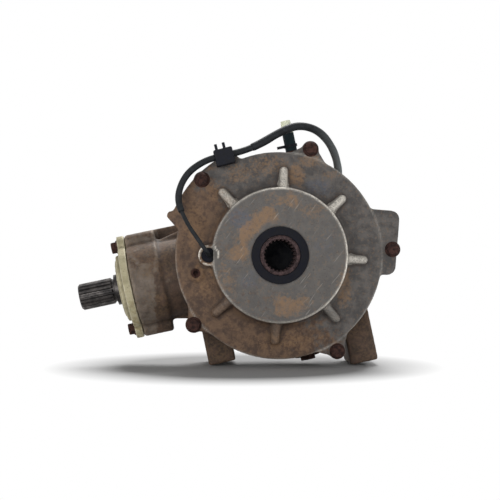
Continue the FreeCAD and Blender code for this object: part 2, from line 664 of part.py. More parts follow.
def gearcase_housing():
    outer = CAVITY_R + WALL
    solids = flange_outline(JOINT_Y, JOINT_Y + CASE_FLANGE)
    bowl = turned([(0, JOINT_Y), (outer + 3, JOINT_Y), (outer + 3, JOINT_Y + CASE_FLANGE), (outer, JOINT_Y + 14),
                   (outer - 1.5, CAVITY_REAR_Y - 10), (outer - 9, REAR_WALL_Y - 3), (outer - 20, REAR_WALL_Y),
                   (REAR_BOSS_R + 8, REAR_WALL_Y + 3), (REAR_BOSS_R + 2, REAR_WALL_Y + 8),
                   (REAR_BOSS_R, REAR_FACE_Y - 1.5), (REAR_BOSS_R - 1.5, REAR_FACE_Y), (0, REAR_FACE_Y)])
    solids.append(bowl)
    solids.append(rod(Vec(-BLOCK_S - 4, PINION_Y, 0), Vec(-40, PINION_Y, 0), PINION_BORE_R + NECK_WALL))
    solids.append(ear_outline(BLOCK_S, PLATE_S))
    pad = Part.makeBox(PLATE_S - 66.0, 28.0, 34.0, Vec(-PLATE_S + 2, PINION_Y + 14, 14.0))
    solids.append(pad)
    web = prism([Vec(-BLOCK_S - 2, PINION_Y - 4, -36), Vec(-62, PINION_Y - 4, -46), Vec(-62, PINION_Y - 4, 46),
                 Vec(-BLOCK_S - 2, PINION_Y - 4, 36)], Vec(0, 8, 0))
    solids.append(web)
    holes = []
    for corner, width, end_v in ((LEFT_FOOT_U, LEFT_FOOT_WIDTH, LEFT_FOOT_V),
                                 (RIGHT_FOOT_U, RIGHT_FOOT_WIDTH, RIGHT_FOOT_V)):
        box, foot_holes = foot(corner, width, end_v)
        solids.append(box)
        holes += foot_holes
    drain = Vec(DRAIN_U, PINION_Y, DRAIN_END_V + 6.0)
    solids.append(rod(drain, Vec(DRAIN_U, PINION_Y, -70), PLUG_R + 3.5))
    fill_x, fill_z = polar(FILL_PLACE)
    solids.append(rod_y(fill_x, fill_z, REAR_WALL_Y - 8, REAR_WALL_Y + 3, PLUG_R + 3.5))
    vent = Vec(VENT_U, VENT_Y, VENT_FACE_V)
    solids.append(rod(Vec(VENT_U, VENT_Y, 66.0), vent, 8.5))
    for i in range(3):
        rib = Part.makeBox(48.0, 26.0, 6.0, Vec(REAR_BOSS_R - 8, REAR_WALL_Y - 14, -3))
        cut = prism([Vec(REAR_BOSS_R + 2, REAR_FACE_Y, -4), Vec(REAR_BOSS_R + 50, REAR_FACE_Y, -4),
                     Vec(REAR_BOSS_R + 50, REAR_WALL_Y - 8, -4), Vec(REAR_BOSS_R + 32, REAR_WALL_Y - 2, -4),
                     Vec(REAR_BOSS_R + 4, REAR_WALL_Y + 9, -4)], Vec(0, 0, 8))
        solids.append(spun(rib.cut(cut), 120.0 * i + 8))
    body = fused(solids)
    cavity = turned([(0, JOINT_Y - 1), (CAVITY_R, JOINT_Y - 1), (CAVITY_R - 1.5, CAVITY_REAR_Y - 12),
                     (CAVITY_R - 9, CAVITY_REAR_Y), (RING_BORE_R + RUNNING_GAP + BUSH_WALL, CAVITY_REAR_Y),
                     (RING_BORE_R + RUNNING_GAP + BUSH_WALL, DRUM_REAR_Y + 0.6), (BEARING_R, DRUM_REAR_Y + 0.6),
                     (BEARING_R, REAR_BEARING_Y + BEARING_WIDTH),
                     (SEAL_R - 1.5, REAR_BEARING_Y + BEARING_WIDTH), (SEAL_R - 1.5, REAR_SEAL_Y),
                     (SEAL_R, REAR_SEAL_Y), (SEAL_R, REAR_FACE_Y + 1), (0, REAR_FACE_Y + 1)])
    bore = turned_pinion([(40.0, 0), (40.0, 27.0), (INNER_BEARING_S, 27.0), (INNER_BEARING_S, PINION_BORE_R),
                          (PLATE_S + 1, PINION_BORE_R), (PLATE_S + 1, 0)])
    cuts = [cavity, bore] + holes
    for place in COVER_BOLTS:
        x, z = polar(place)
        cuts.append(rod_y(x, z, JOINT_Y - 1, JOINT_Y + BOLT_GRIP, BOLT_R))
    for side in (-1, 1):
        start = Vec(-PLATE_S - 1, PINION_Y, side * EAR_V)
        cuts.append(rod(start, start + Vec(17, 0, 0), BOLT_R))
    cuts.append(oring_groove())
    groove = PLATE_S - 2 * PLATE_ORING
    cuts.append(turned_pinion([(groove, PLATE_ORING_R - PLATE_ORING - 0.1), (PLATE_S + 1, PLATE_ORING_R - PLATE_ORING - 0.1),
                               (PLATE_S + 1, PLATE_ORING_R + PLATE_ORING + 0.1),
                               (groove, PLATE_ORING_R + PLATE_ORING + 0.1)]))
    cuts.append(rod(Vec(DRAIN_U, PINION_Y, DRAIN_END_V), Vec(DRAIN_U, PINION_Y, -60), PLUG_R))
    cuts.append(rod_y(fill_x, fill_z, CAVITY_REAR_Y - 12, REAR_WALL_Y + 4, PLUG_R))
    cuts.append(rod(Vec(VENT_U, VENT_Y, 50), Vec(VENT_U, VENT_Y, VENT_FACE_V + 1), 4.0))
    pad_top = 48.0
    for s in (78.0, 118.0):
        at = Vec(-s, PINION_Y + 28, pad_top - 12)
        cuts.append(rod(at, at + Vec(0, 0, 13), FOOT_HOLE_R))
    return body.cut(cuts)


def oring_groove():
    return ring_y(COVER_ORING_R - COVER_ORING - 0.2, COVER_ORING_R + COVER_ORING + 0.2, JOINT_Y - 1,
                  JOINT_Y + 2 * COVER_ORING)


def plain_bush(shaft_r, y0, y1):
    return ring_y(shaft_r + RUNNING_GAP, shaft_r + RUNNING_GAP + BUSH_WALL, y0, y1)


def clutch_coil():
    """Wound coil in its steel cup, fixed in the cover."""
    cup = turned([(COIL_IN_R, COIL_Y), (COIL_OUT_R, COIL_Y), (COIL_OUT_R, COIL_Y + COIL_LENGTH),
                  (COIL_OUT_R - 1.8, COIL_Y + COIL_LENGTH), (COIL_OUT_R - 1.8, COIL_Y + COIL_LENGTH - 1.0),
                  (COIL_IN_R + 1.8, COIL_Y + COIL_LENGTH - 1.0), (COIL_IN_R + 1.8, COIL_Y + COIL_LENGTH),
                  (COIL_IN_R, COIL_Y + COIL_LENGTH)])
    return cup


def pinion_shaft():
    gear = Bevel(PINION_TEETH, PINION_ANGLE, Vec(-1, 0, 0), SHIFT)
    drop = gear.root - gear.pitch
    heel_s, heel_r = cone_point(PINION_ANGLE, CONE, drop)
    toe_s, toe_r = cone_point(PINION_ANGLE, CONE * TOE, drop * TOE)
    slope = (heel_r - toe_r) / (heel_s - toe_s)
    back_s = heel_s + 1.2
    blank = turned_pinion([(toe_s - 0.6, 0), (toe_s - 0.6, toe_r - 0.6 * slope), (back_s, heel_r + 1.2 * slope),
                           (INNER_BEARING_S, heel_r + 1.2 * slope), (INNER_BEARING_S, SHAFT_R),
                           (PLATE_S, SHAFT_R), (PLATE_S, COLLAR_R), (COLLAR_END_S, COLLAR_R),
                           (COLLAR_END_S + 0.8, INPUT_SPLINE_ROOT_R - 0.2),
                           (INPUT_SPLINE_S + 1, INPUT_SPLINE_ROOT_R - 0.2), (INPUT_SPLINE_S + 1, 0)])
    teeth = []
    for i in range(PINION_TEETH):
        turn = 2 * math.pi * i / PINION_TEETH
        teeth.append(gear.tooth(Vec(0, -math.cos(turn), math.sin(turn))))
    limit = turned_pinion([(INPUT_SPLINE_S, 0), (INPUT_SPLINE_S, INPUT_SPLINE_R - 1.4),
                           (INPUT_SPLINE_S + 1.4, INPUT_SPLINE_R), (SHAFT_END_S - 1.6, INPUT_SPLINE_R),
                           (SHAFT_END_S, INPUT_SPLINE_R - 1.6), (SHAFT_END_S, 0)])
    points = []
    for i in range(INPUT_TEETH):
        for radius, share in ((INPUT_SPLINE_ROOT_R, -0.36), (INPUT_SPLINE_R, -0.2),
                              (INPUT_SPLINE_R, 0.2), (INPUT_SPLINE_ROOT_R, 0.36)):
            y, z = polar((radius, 360.0 / INPUT_TEETH * (i + share)))
            points.append(Vec(-SHAFT_END_S, PINION_Y + y, z))
    spline = prism(points, Vec(SHAFT_END_S - INPUT_SPLINE_S, 0, 0)).common(limit)
    return blank.multiFuse(teeth + [spline])


def roller_bearing(s0, width, rows):
    """Outer race, inner race and rollers of a pinion bearing."""
    s1 = s0 + width
    outer = turned_pinion([(s0, PINION_BORE_R - 3.6), (s0, PINION_BORE_R), (s1, PINION_BORE_R),
                           (s1, PINION_BORE_R - 3.6)])
    inner = turned_pinion([(s0, SHAFT_R), (s0, SHAFT_R + 4.4), (s1, SHAFT_R + 4.4), (s1, SHAFT_R)])
    middle = (SHAFT_R + 4.4 + PINION_BORE_R - 3.6) / 2
    radius = (PINION_BORE_R - 3.6 - SHAFT_R - 4.4) / 2 - 0.03
    length = width / rows - 2.4
    found = []
    for row in range(rows):
        start = s0 + 1.2 + row * width / rows
        for i in range(ROLLERS_PER_ROW):
            y, z = polar((middle, 360.0 / ROLLERS_PER_ROW * (i + 0.5 * row)))
            found.append(rod(Vec(-start - length, PINION_Y + y, z), Vec(-start, PINION_Y + y, z), radius))
    return outer, inner, found


def pinion_spacer():
    """Sleeve between the inner races of the two pinion bearings."""
    s0 = INNER_BEARING_S + INNER_BEARING_WIDTH
    return turned_pinion([(s0, SHAFT_R), (s0, SHAFT_R + 3), (OUTER_BEARING_S, SHAFT_R + 3),
                          (OUTER_BEARING_S, SHAFT_R)])


def retaining_sleeve():
    """Sleeve between the outer races of the two pinion bearings."""
    s0 = INNER_BEARING_S + INNER_BEARING_WIDTH
    return turned_pinion([(s0, PINION_BORE_R - 3), (s0, PINION_BORE_R), (OUTER_BEARING_S, PINION_BORE_R),
                          (OUTER_BEARING_S, PINION_BORE_R - 3)])


def input_cover():
    """End plate with the input seal: a lozenge plate with a raised ring and small webs."""
    plate = ear_outline(PLATE_S, PLATE_S + PLATE_THICK)
    face = PLATE_S + PLATE_THICK
    top = face + PLATE_RING_HIGH
    ring = turned_pinion([(face - 1, INPUT_SEAL_R - 2), (top, INPUT_SEAL_R - 2), (top, INPUT_SEAL_R + 2.4),
                          (face - 2, INPUT_SEAL_R + 3.2)])
    rim = turned_pinion([(face - 1, PLATE_RING_R - 3), (top - 1.6, PLATE_RING_R - 2.6),
                         (top - 1.6, PLATE_RING_R), (face - 1, PLATE_RING_R + 0.3)])
    solids = [plate, ring, rim]
    for i in range(10):
        web = Part.makeBox(PLATE_RING_HIGH, 2.6, PLATE_RING_R - INPUT_SEAL_R,
                           Vec(-top + 1.6, PINION_Y - 1.3, INPUT_SEAL_R))
        solids.append(spun(web, 36.0 * i + 18, Vec(0, PINION_Y, 0), Vec(1, 0, 0)))
    body = joined(solids)
    seat = turned_pinion([(PLATE_S - 1, 0), (PLATE_S - 1, COLLAR_R + 4), (PLATE_S + 2, COLLAR_R + 4),
                          (PLATE_S + 2, INPUT_SEAL_R), (top + 1, INPUT_SEAL_R), (top + 1, 0)])
    cuts = [seat]
    for side in (-1, 1):
        start = Vec(-PLATE_S + 1, PINION_Y, side * EAR_V)
        cuts.append(rod(start, start - Vec(PLATE_THICK + 9, 0, 0), BOLT_R + 0.2))
    return body.cut(cuts)


def input_cover_bolts():
    seat = -(PLATE_S + PLATE_THICK)
    return [flange_bolt(Vec(seat, PINION_Y, side * EAR_V), Vec(1, 0, 0), PLATE_THICK + 15) for side in (-1, 1)]


def input_seal():
    top = PLATE_S + PLATE_THICK + PLATE_RING_HIGH - 1.0
    s0 = top - SEAL_WIDTH
    inner = COLLAR_R + 0.1
    outer = INPUT_SEAL_R
    return turned_pinion([(top, outer), (s0, outer), (s0, outer - 2.2), (top - 4, outer - 2.2), (top - 4, inner + 1.6),
                          (s0 + 1, inner + 1.4), (s0 + 2.2, inner), (top - 2.8, inner + 0.7),
                          (top - 0.8, inner), (top, inner + 0.5)])


def cord_section(across, along, radius):
    """Eight-sided outline of a round seal cord."""
    flat = radius / math.cos(math.pi / 8)
    points = []
    for i in range(8):
        turn = math.radians(45 * i + 22.5)
        points.append((across + flat * math.cos(turn), along + flat * math.sin(turn)))
    return points


def input_cover_oring():
    return turned_pinion(cord_section(PLATE_S - PLATE_ORING, PLATE_ORING_R, PLATE_ORING))


def hex_plug(face, out, depth, head):
    """Threaded plug with a flange and a hex head; out points away from the case."""
    thread = rod(face - out * depth, face, PLUG_R)
    flange = rod(face, face + out * 1.6, PLUG_R + 2.4)
    cap = hex_prism(face + out * 1.6, out, 13.0, head)
    return joined([thread, flange, cap])


def vent_pieces():
    """Breather: hex fitting, hose stub on its barb, wire clamp and cap, all along the case's own up axis."""
    up = Vec(0, 0, 1)
    base = Vec(VENT_U, VENT_Y, VENT_FACE_V)
    stem = rod(base - up * 9, base, 4.0)
    hexagon = hex_prism(base, up, 13.0, 11.0)
    barb = rod(base + up * 11, base + up * 24, 3.2)
    fitting = joined([stem, hexagon, barb]).cut(rod(base - up * 10, base + up * 25, 1.5))
    stub_start = base + up * 11.0
    stub = rod(stub_start, stub_start + up * 17.0, 5.3).cut(rod(stub_start - up, stub_start + up * 18.0, 3.2))
    clamp_at = stub_start + up * 4.0
    clamp = rod(clamp_at, clamp_at + up * 2.4, 6.3).cut(rod(clamp_at - up, clamp_at + up * 4.0, 5.3))
    tail = Part.makeBox(7.0, 2.4, 2.4, clamp_at + Vec(-12.6, -4.0, 0))
    clamp = clamp.fuse(tail.cut(rod(clamp_at - up, clamp_at + up * 4.0, 5.3))).removeSplitter()
    cap_start = stub_start + up * 17.0
    cap = joined([rod(cap_start - up * 4.0, cap_start, 3.2), rod(cap_start, cap_start + up * 3.0, 5.3),
                  Part.makeCone(5.3, 4.4, 8.5, cap_start + up * 3.0, up)])
    return fitting, stub, clamp, cap


def lead_path(points):
    """Straight runs joined by tangent arcs, as large as the runs allow."""
    edges = []
    at = points[0]
    for before, corner, after in zip(points, points[1:], points[2:]):
        one = before - corner
        two = after - corner
        turn = math.pi - one.getAngle(two)
        radius = 0.45 * min(one.Length, two.Length) / math.tan(turn / 2)
        print("lead turn %.0f deg, radius %.1f mm" % (math.degrees(turn), radius))
        back = radius * math.tan(turn / 2)
        one.normalize()
        two.normalize()
        start = corner + one * back
        end = corner + two * back
        middle = one + two
        middle.normalize()
        bulge = corner + middle * (radius / math.cos(turn / 2) - radius)
        edges.append(Part.makeLine(at, start))
        edges.append(Part.Arc(start, bulge, end).toShape())
        at = end
    edges.append(Part.makeLine(at, points[-1]))
    return Part.Wire(edges)


def lead_tube(name, points, radius):
    path = lead_path(points)
    along = points[1] - points[0]
    circle = Part.Wire(Part.makeCircle(radius, points[0], along))
    tube = path.makePipeShell([circle], True, True)
    print("%s: length %.1f mm, volume ratio %.4f" % (name, path.Length, tube.Volume /
                                                     (math.pi * radius ** 2 * path.Length)))
    return tube


def lead_pieces():
    """Wires from the grommet, a front and a rear sleeve, each in line where it meets the next."""
    wires = [Vec(*p) for p in WIRE_ROUTE]
    sleeve = [Vec(*p) for p in SLEEVE_ROUTE]
    rear = [Vec(*p) for p in REAR_ROUTE]
    first = wires[-1] + (sleeve[0] - wires[-1]) * 0.5
    second = sleeve[-1] + (rear[0] - sleeve[-1]) * 0.5
    return (lead_tube("lead_wires", wires + [first], WIRE_RADIUS),
            lead_tube("lead_sleeve_front", [first] + sleeve + [second], SLEEVE_RADIUS),
            lead_tube("lead_sleeve_rear", [second] + rear, REAR_SLEEVE_RADIUS))


def lead_connector():
    """Two-pin plug housing on the end of the lead."""
    start = Vec(*REAR_ROUTE[-1])
    along = start - Vec(*REAR_ROUTE[-2])
    along.normalize()
    boot = Part.makeCone(REAR_SLEEVE_RADIUS + 1.6, REAR_SLEEVE_RADIUS + 2.6, 9.0, start, along)
    shell = Part.makeBox(20.0, 13.0, 30.0, Vec(-10, -6.5, 0))
    shell = shell.makeFillet(2.0, [e for e in shell.Edges if abs(e.Vertexes[0].Z - e.Vertexes[1].Z) > 20])
    ports = [Part.makeBox(2.8, 2.8, 10.0, Vec(x - 1.4, -1.4, 22.0)) for x in (-4.0, 4.0)]
    latch = Part.makeBox(6.0, 2.0, 16.0, Vec(-3.0, 6.0, 8.0))
    skirt = Part.makeBox(22.0, 15.0, 3.0, Vec(-11, -7.5, 12.0))
    shell = joined([shell, latch, skirt]).cut(ports)
    shell.Placement = FreeCAD.Placement(start + along * 8.0, FreeCAD.Rotation(Vec(0, 0, 1), along))
    return joined([boot, shell])


def wire_grommet():
    """Rubber plug in the wire boss, in the case frame, with its hole for the wires."""
    x, z = polar(WIRE_BOSS)
    body = rod_y(x, z, WIRE_BOSS_Y + 2.0, WIRE_BOSS_Y + 9.0, WIRE_HOLE_R)
    return body


def harness_clip():
    """Two-jaw clip on the front sleeve, seated on its lug, in the resting frame."""
    centre = Vec(*SLEEVE_ROUTE[-2])
    along = Vec(*SLEEVE_ROUTE[-1]) - Vec(*SLEEVE_ROUTE[-3])
    front = CLIP_FRONT_Y - centre.y
    back = FLANGE_FRONT_Y - 0.3 - centre.y
    box = Part.makeBox(17.0, back - front, 15.0, Vec(-8.5, front, -9.0))
    box = box.makeFillet(1.5, box.Edges)
    ears = [Part.makeBox(2.4, 6.0, 8.0, Vec(x, -3.0, 3.0)) for x in (-6.2, 0.8)]
    stem_end = FLANGE_FRONT_Y + CLIP_LUG_DROP - centre.y
    stem = Part.makeBox(6.0, stem_end, 5.0, Vec(-3.0, 0, -2.0))
    clip = joined([box, stem] + ears)
    clip.Placement = FreeCAD.Placement(centre, FreeCAD.Rotation(Vec(1, 0, 0), Vec(along.x, 0, along.z)))
    path = lead_path([Vec(*p) for p in SLEEVE_ROUTE[1:]])
    circle = Part.Wire(Part.makeCircle(SLEEVE_RADIUS + 0.2, Vec(*SLEEVE_ROUTE[1]),
                                       Vec(*SLEEVE_ROUTE[2]) - Vec(*SLEEVE_ROUTE[1])))
    return clip.cut(path.makePipeShell([circle], True, True))


def export(name, shape, tilted=True):
    """Writes one node; a list of solids becomes one node of separate solids."""
    if isinstance(shape, (list, tuple)):
        shape = Part.makeCompound(list(shape))
    shape = shape.copy()
    if tilted:
        shape.rotate(ORIGIN, AXIS_Y, -TILT)
    if not shape.isValid():
        print("not valid:", name)
    shape.exportStep("parts/%s.step" % name)


def main():
    os.makedirs("parts", exist_ok=True)
    export("gearcase_housing", gearcase_housing())
    export("output_cover", output_cover())
    export("cover_bolts", cover_bolts())
    export("cover_oring", cover_oring())
    export("backlash_screw", backlash_screw())
    export("front_output_seal", lip_seal(SEAL_Y, JOURNAL_R + 0.1, SEAL_R, 1))
    export("rear_output_seal", lip_seal(REAR_SEAL_Y + SEAL_WIDTH, JOURNAL_R + 0.1, SEAL_R, -1))
    for side, start in (("front", FRONT_BEARING_Y), ("rear", REAR_BEARING_Y)):
        outer, inner, balls = ball_bearing(start)
        export(side + "_bearing_outer_race", outer)
        export(side + "_bearing_inner_race", inner)
        export(side + "_bearing_balls", balls)
    export("front_output_hub", front_output_hub())
    export("rear_output_hub", rear_output_hub())
    export("front_hub_plug", hub_plug(0.0, 1.0))
    export("rear_hub_plug", hub_plug(REAR_FACE_Y + 0.5, -1.0))
    export("ring_gear", ring_gear())
    export("ring_gear_screws", ring_gear_screws())
    export("clutch_drum", clutch_drum())
    export("front_drum_bush", plain_bush(SKIRT_R, SKIRT_Y, JOINT_Y - COVER_STEP - 0.5))
    export("rear_drum_bush", plain_bush(RING_BORE_R, CAVITY_REAR_Y, DRUM_REAR_Y - 1))
    export("hub_thrust_washer", ring_y(15.0, RACE_R - 2, FRONT_RACE_END + 0.2, REAR_RACE_Y))
    export("roll_cage", roll_cage())
    export("clutch_rollers", rollers())
    export("armature_plate", armature_plate())
    export("clutch_coil", clutch_coil())
    export("pinion_shaft", pinion_shaft())
    outer, inner, found = roller_bearing(INNER_BEARING_S, INNER_BEARING_WIDTH, 1)
    export("pinion_inner_bearing_outer_race", outer)
    export("pinion_inner_bearing_inner_race", inner)
    export("pinion_inner_bearing_rollers", found)
    outer, inner, found = roller_bearing(OUTER_BEARING_S, OUTER_BEARING_WIDTH, 2)
    export("pinion_outer_bearing_outer_race", outer)
    export("pinion_outer_bearing_inner_race", inner)
    export("pinion_outer_bearing_rollers", found)
    export("pinion_spacer", pinion_spacer())
    export("bearing_spacer_sleeve", retaining_sleeve())
    export("input_cover", input_cover())
    export("input_cover_bolts", input_cover_bolts())
    export("input_cover_oring", input_cover_oring())
    export("input_seal", input_seal())
    drain = Vec(DRAIN_U, PINION_Y, DRAIN_END_V + 6.0)
    export("drain_plug", hex_plug(drain, Vec(0, 0, -1), 9.0, 3.4))
    fill_x, fill_z = polar(FILL_PLACE)
    export("fill_plug", hex_plug(Vec(fill_x, REAR_WALL_Y + 3, fill_z), Vec(0, 1, 0), 9.0, 5.0))
    fitting, stub, clamp, cap = vent_pieces()
    export("vent_fitting", fitting)
    export("vent_hose_stub", stub)
    export("vent_hose_clamp", clamp)
    export("vent_cap", cap)
    export("lead_grommet", wire_grommet())
    wires, front, rear = lead_pieces()
    export("lead_wires", wires, False)
    export("lead_sleeve_front", front, False)
    export("lead_sleeve_rear", rear, False)
    export("lead_connector", lead_connector(), False)
    export("harness_clip", harness_clip(), False)


main()
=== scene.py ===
"""Looks of the ring and pinion gear set: weathered castings, rusty fasteners, dark spline, rubber and a lead.

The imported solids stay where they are. The visible castings are copies of them with softened, pitted
surfaces. Everything is in metres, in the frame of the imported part.
"""
import json
import math

import bmesh
import bpy
import numpy as np
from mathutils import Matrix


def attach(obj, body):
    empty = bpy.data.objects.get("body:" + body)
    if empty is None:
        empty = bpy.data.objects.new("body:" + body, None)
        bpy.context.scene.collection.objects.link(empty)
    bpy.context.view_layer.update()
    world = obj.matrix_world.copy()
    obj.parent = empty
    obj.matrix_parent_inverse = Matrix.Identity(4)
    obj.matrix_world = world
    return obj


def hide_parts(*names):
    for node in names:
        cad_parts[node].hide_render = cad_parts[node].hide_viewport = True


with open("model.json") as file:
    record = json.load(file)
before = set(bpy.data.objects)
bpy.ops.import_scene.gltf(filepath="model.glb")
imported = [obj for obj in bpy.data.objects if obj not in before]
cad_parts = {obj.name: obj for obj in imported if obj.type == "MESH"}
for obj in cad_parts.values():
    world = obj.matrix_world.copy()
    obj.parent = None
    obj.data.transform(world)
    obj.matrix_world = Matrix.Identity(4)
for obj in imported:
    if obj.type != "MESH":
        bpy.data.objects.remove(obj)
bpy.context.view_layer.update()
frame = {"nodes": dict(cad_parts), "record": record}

MM = 0.001
NODES = frame["nodes"]
SLOTS = {entry["node"]: entry["material_slot"] for entry in frame["record"]["subparts"]}
BODIES = {node: body for body, nodes in frame["record"]["behaviour"]["bodies"].items() for node in nodes}

# The surface that the feet rest on, and how far under it the paper lies
FLOOR_Z = -0.100
PAPER_DROP = 0.0002

# Camera: the photograph's frame is 500 pixels square, and the hub mouth is seen at this pixel
PHOTO_SIZE = 500.0
HUB_PIXEL = (280.4, 255.3)
FOCAL_PIXELS = 1150.0
SENSOR_MM = 36.0
CAMERA_AWAY = 1.0
CAMERA_AZIMUTH = math.radians(-3.2)
CAMERA_RISE = math.radians(-0.5)

# Cover, in millimetres and degrees: raised boss, flange, the rim's wider stretch (reach and two turns),
# bolt lugs (reach and turn), ribs and wire boss
BOSS_R = 59.5
RIM_R = 92.2
FLANGE_YS = (20.0, 30.0, 38.0)
SHOULDER = (101.6, 119.0, 158.0)
LUGS = ((98.8, 73.5), (95.7, 135.5), (97.2, 219.0), (99.5, 301.4))
LUG_R = 7.6
LUG_FLARE = 12.0
RIB_END_R = 79.0
RIB_FOOT = 11.0
RIB_STEP = 45.0
RIB_FIRST = 42.0
WIRE_BOSS = (-62.2, 0.0)
WIRE_BOSS_R = 9.4

# Rust-tan stains on the cover's face: x, z, half width, half height in millimetres, strength
STAINS = ((9.0, -44.0, 17.0, 9.0, 0.8), (57.5, -27.0, 6.5, 17.0, 0.7), (15.0, 71.0, 8.0, 13.0, 0.75),
          (27.0, 40.0, 13.0, 7.0, 0.35), (6.0, 47.0, 15.0, 8.0, 0.75), (-66.0, -24.0, 9.0, 15.0, 0.6),
          (-74.0, 26.0, 9.0, 24.0, 0.55), (-52.0, 58.0, 11.0, 8.0, 0.5), (-45.0, -24.0, 9.0, 16.0, 0.35),
          (46.0, 72.0, 9.0, 5.0, 0.4), (-6.0, 80.0, 20.0, 8.0, 0.42), (-38.0, 70.0, 15.0, 12.0, 0.42),
          (28.0, 84.0, 12.0, 6.0, 0.55), (10.0, -76.0, 26.0, 9.0, 0.5))
# The stain that runs round the upper left of the seal: middle radius, half width, middle and half angle
SEAL_STAIN = (35.0, 7.5, 134.0, 52.0)
# Bluish grey patches on the boss: the same form as the stains
BLUE_PATCHES = ((-34.0, 30.0, 11.0, 12.0, 0.8), (-28.0, -22.0, 14.0, 9.0, 0.6), (38.0, 12.0, 12.0, 20.0, 0.4),
                (14.0, -66.0, 16.0, 6.0, 0.3), (34.0, 60.0, 18.0, 10.0, 0.6))

# Directions in x and z in which the cover is cleaner, and in which its ribs are worn and carry a painted
# highlight
CLEAN_SIDE = (0.85, 0.53)
RIB_LIGHT = (0.45, 0.89)

# Lead: control points in millimetres, from the wire boss to the connector
WIRE_ROUTE = ((-62.2, 3.0, 0.0), (-62.2, -4.5, 0.0), (-65.0, -10.0, 4.5), (-72.0, -9.0, 14.5),
              (-81.0, -2.0, 27.5))
SLEEVE_ROUTE = ((-90.6, 8.0, 49.0), (-83.5, 10.5, 70.0), (-67.0, 13.0, 83.0), (-49.0, 15.0, 88.2),
                (-32.0, 18.5, 92.2))
REAR_ROUTE = ((-16.0, 22.5, 99.5), (1.0, 28.0, 110.5), (19.0, 37.0, 118.5), (39.0, 50.0, 114.5),
              (53.0, 65.0, 99.5), (59.5, 81.0, 82.5), (61.5, 98.0, 65.0), (60.5, 111.0, 45.0),
              (58.0, 116.0, 22.0), (56.0, 117.5, -2.0))
WIRE_D = 0.0036
FRONT_SLEEVE_D = 0.0060
REAR_SLEEVE_D = 0.0074
LINE_STEP = 0.001
SLEEVE_SIDES = 28
SLEEVE_LAP = 3              # steps that the front sleeve runs on into the rear one


def linear(hex_colour):
    """Linear RGBA of an sRGB hex colour such as 6B6B68."""
    channels = [int(hex_colour[i:i + 2], 16) / 255.0 for i in (0, 2, 4)]
    return [c / 12.92 if c <= 0.04045 else ((c + 0.055) / 1.055) ** 2.4 for c in channels] + [1.0]


def add(tree, kind, inputs=None, **settings):
    """Adds a shader node: settings are its properties, inputs its sockets as values or outputs to link."""
    made = tree.nodes.new(kind)
    for name, value in settings.items():
        setattr(made, name, value)
    for key, value in (inputs or {}).items():
        if isinstance(value, bpy.types.NodeSocket):
            tree.links.new(value, made.inputs[key])
        else:
            made.inputs[key].default_value = value
    return made


def blank_material(name):
    """A new material with its tree, its Principled shader and the object coordinates."""
    material = bpy.data.materials.new(name)
    material.use_nodes = True
    tree = material.node_tree
    shader = tree.nodes["Principled BSDF"]
    where = add(tree, "ShaderNodeTexCoord").outputs["Object"]
    return material, tree, shader, where


def noise(tree, where, size_mm, detail=2.0, roughness=0.5):
    """Noise from 0 to 1 whose features are about size_mm across."""
    return add(tree, "ShaderNodeTexNoise", {"Vector": where, "Scale": 1000 / size_mm, "Detail": detail,
                                            "Roughness": roughness}).outputs["Fac"]


def patches(tree, where, size_mm, low, high, detail=3.0, seed=0.0):
    """Mask from 0 to 1 of soft patches of about size_mm: noise between low and high."""
    shifted = add(tree, "ShaderNodeVectorMath", {0: where, 1: (seed, seed * 0.7, -seed)}, operation="ADD")
    soft = noise(tree, shifted.outputs[0], size_mm, detail, 0.6)
    return add(tree, "ShaderNodeMapRange", {"Value": soft, "From Min": low, "From Max": high},
               interpolation_type="SMOOTHSTEP").outputs["Result"]


def blended(tree, amount, first, second):
    """Colour that goes from first to second with a mask."""
    mix = add(tree, "ShaderNodeMix", {"Factor": amount}, data_type="RGBA")
    for socket, value in ((mix.inputs[6], first), (mix.inputs[7], second)):
        if isinstance(value, bpy.types.NodeSocket):
            tree.links.new(value, socket)
        else:
            socket.default_value = linear(value)
    return mix.outputs[2]


def times(tree, first, second, operation="MULTIPLY"):
    """One arithmetic step on two masks."""
    return add(tree, "ShaderNodeMath", {0: first, 1: second}, operation=operation, use_clamp=True).outputs[0]


def ranged(tree, value, low, high, out_low=0.0, out_high=1.0):
    """A mask stretched from low..high to out_low..out_high."""
    return add(tree, "ShaderNodeMapRange", {"Value": value, "From Min": low, "From Max": high,
                                            "To Min": out_low, "To Max": out_high}).outputs["Result"]


def roughened(tree, shader, height, strength, distance_mm):
    """Bump from a mask; distance_mm is the height that the mask stands for."""
    bump = add(tree, "ShaderNodeBump", {"Height": height, "Strength": strength, "Distance": distance_mm * MM})
    tree.links.new(bump.outputs["Normal"], shader.inputs["Normal"])


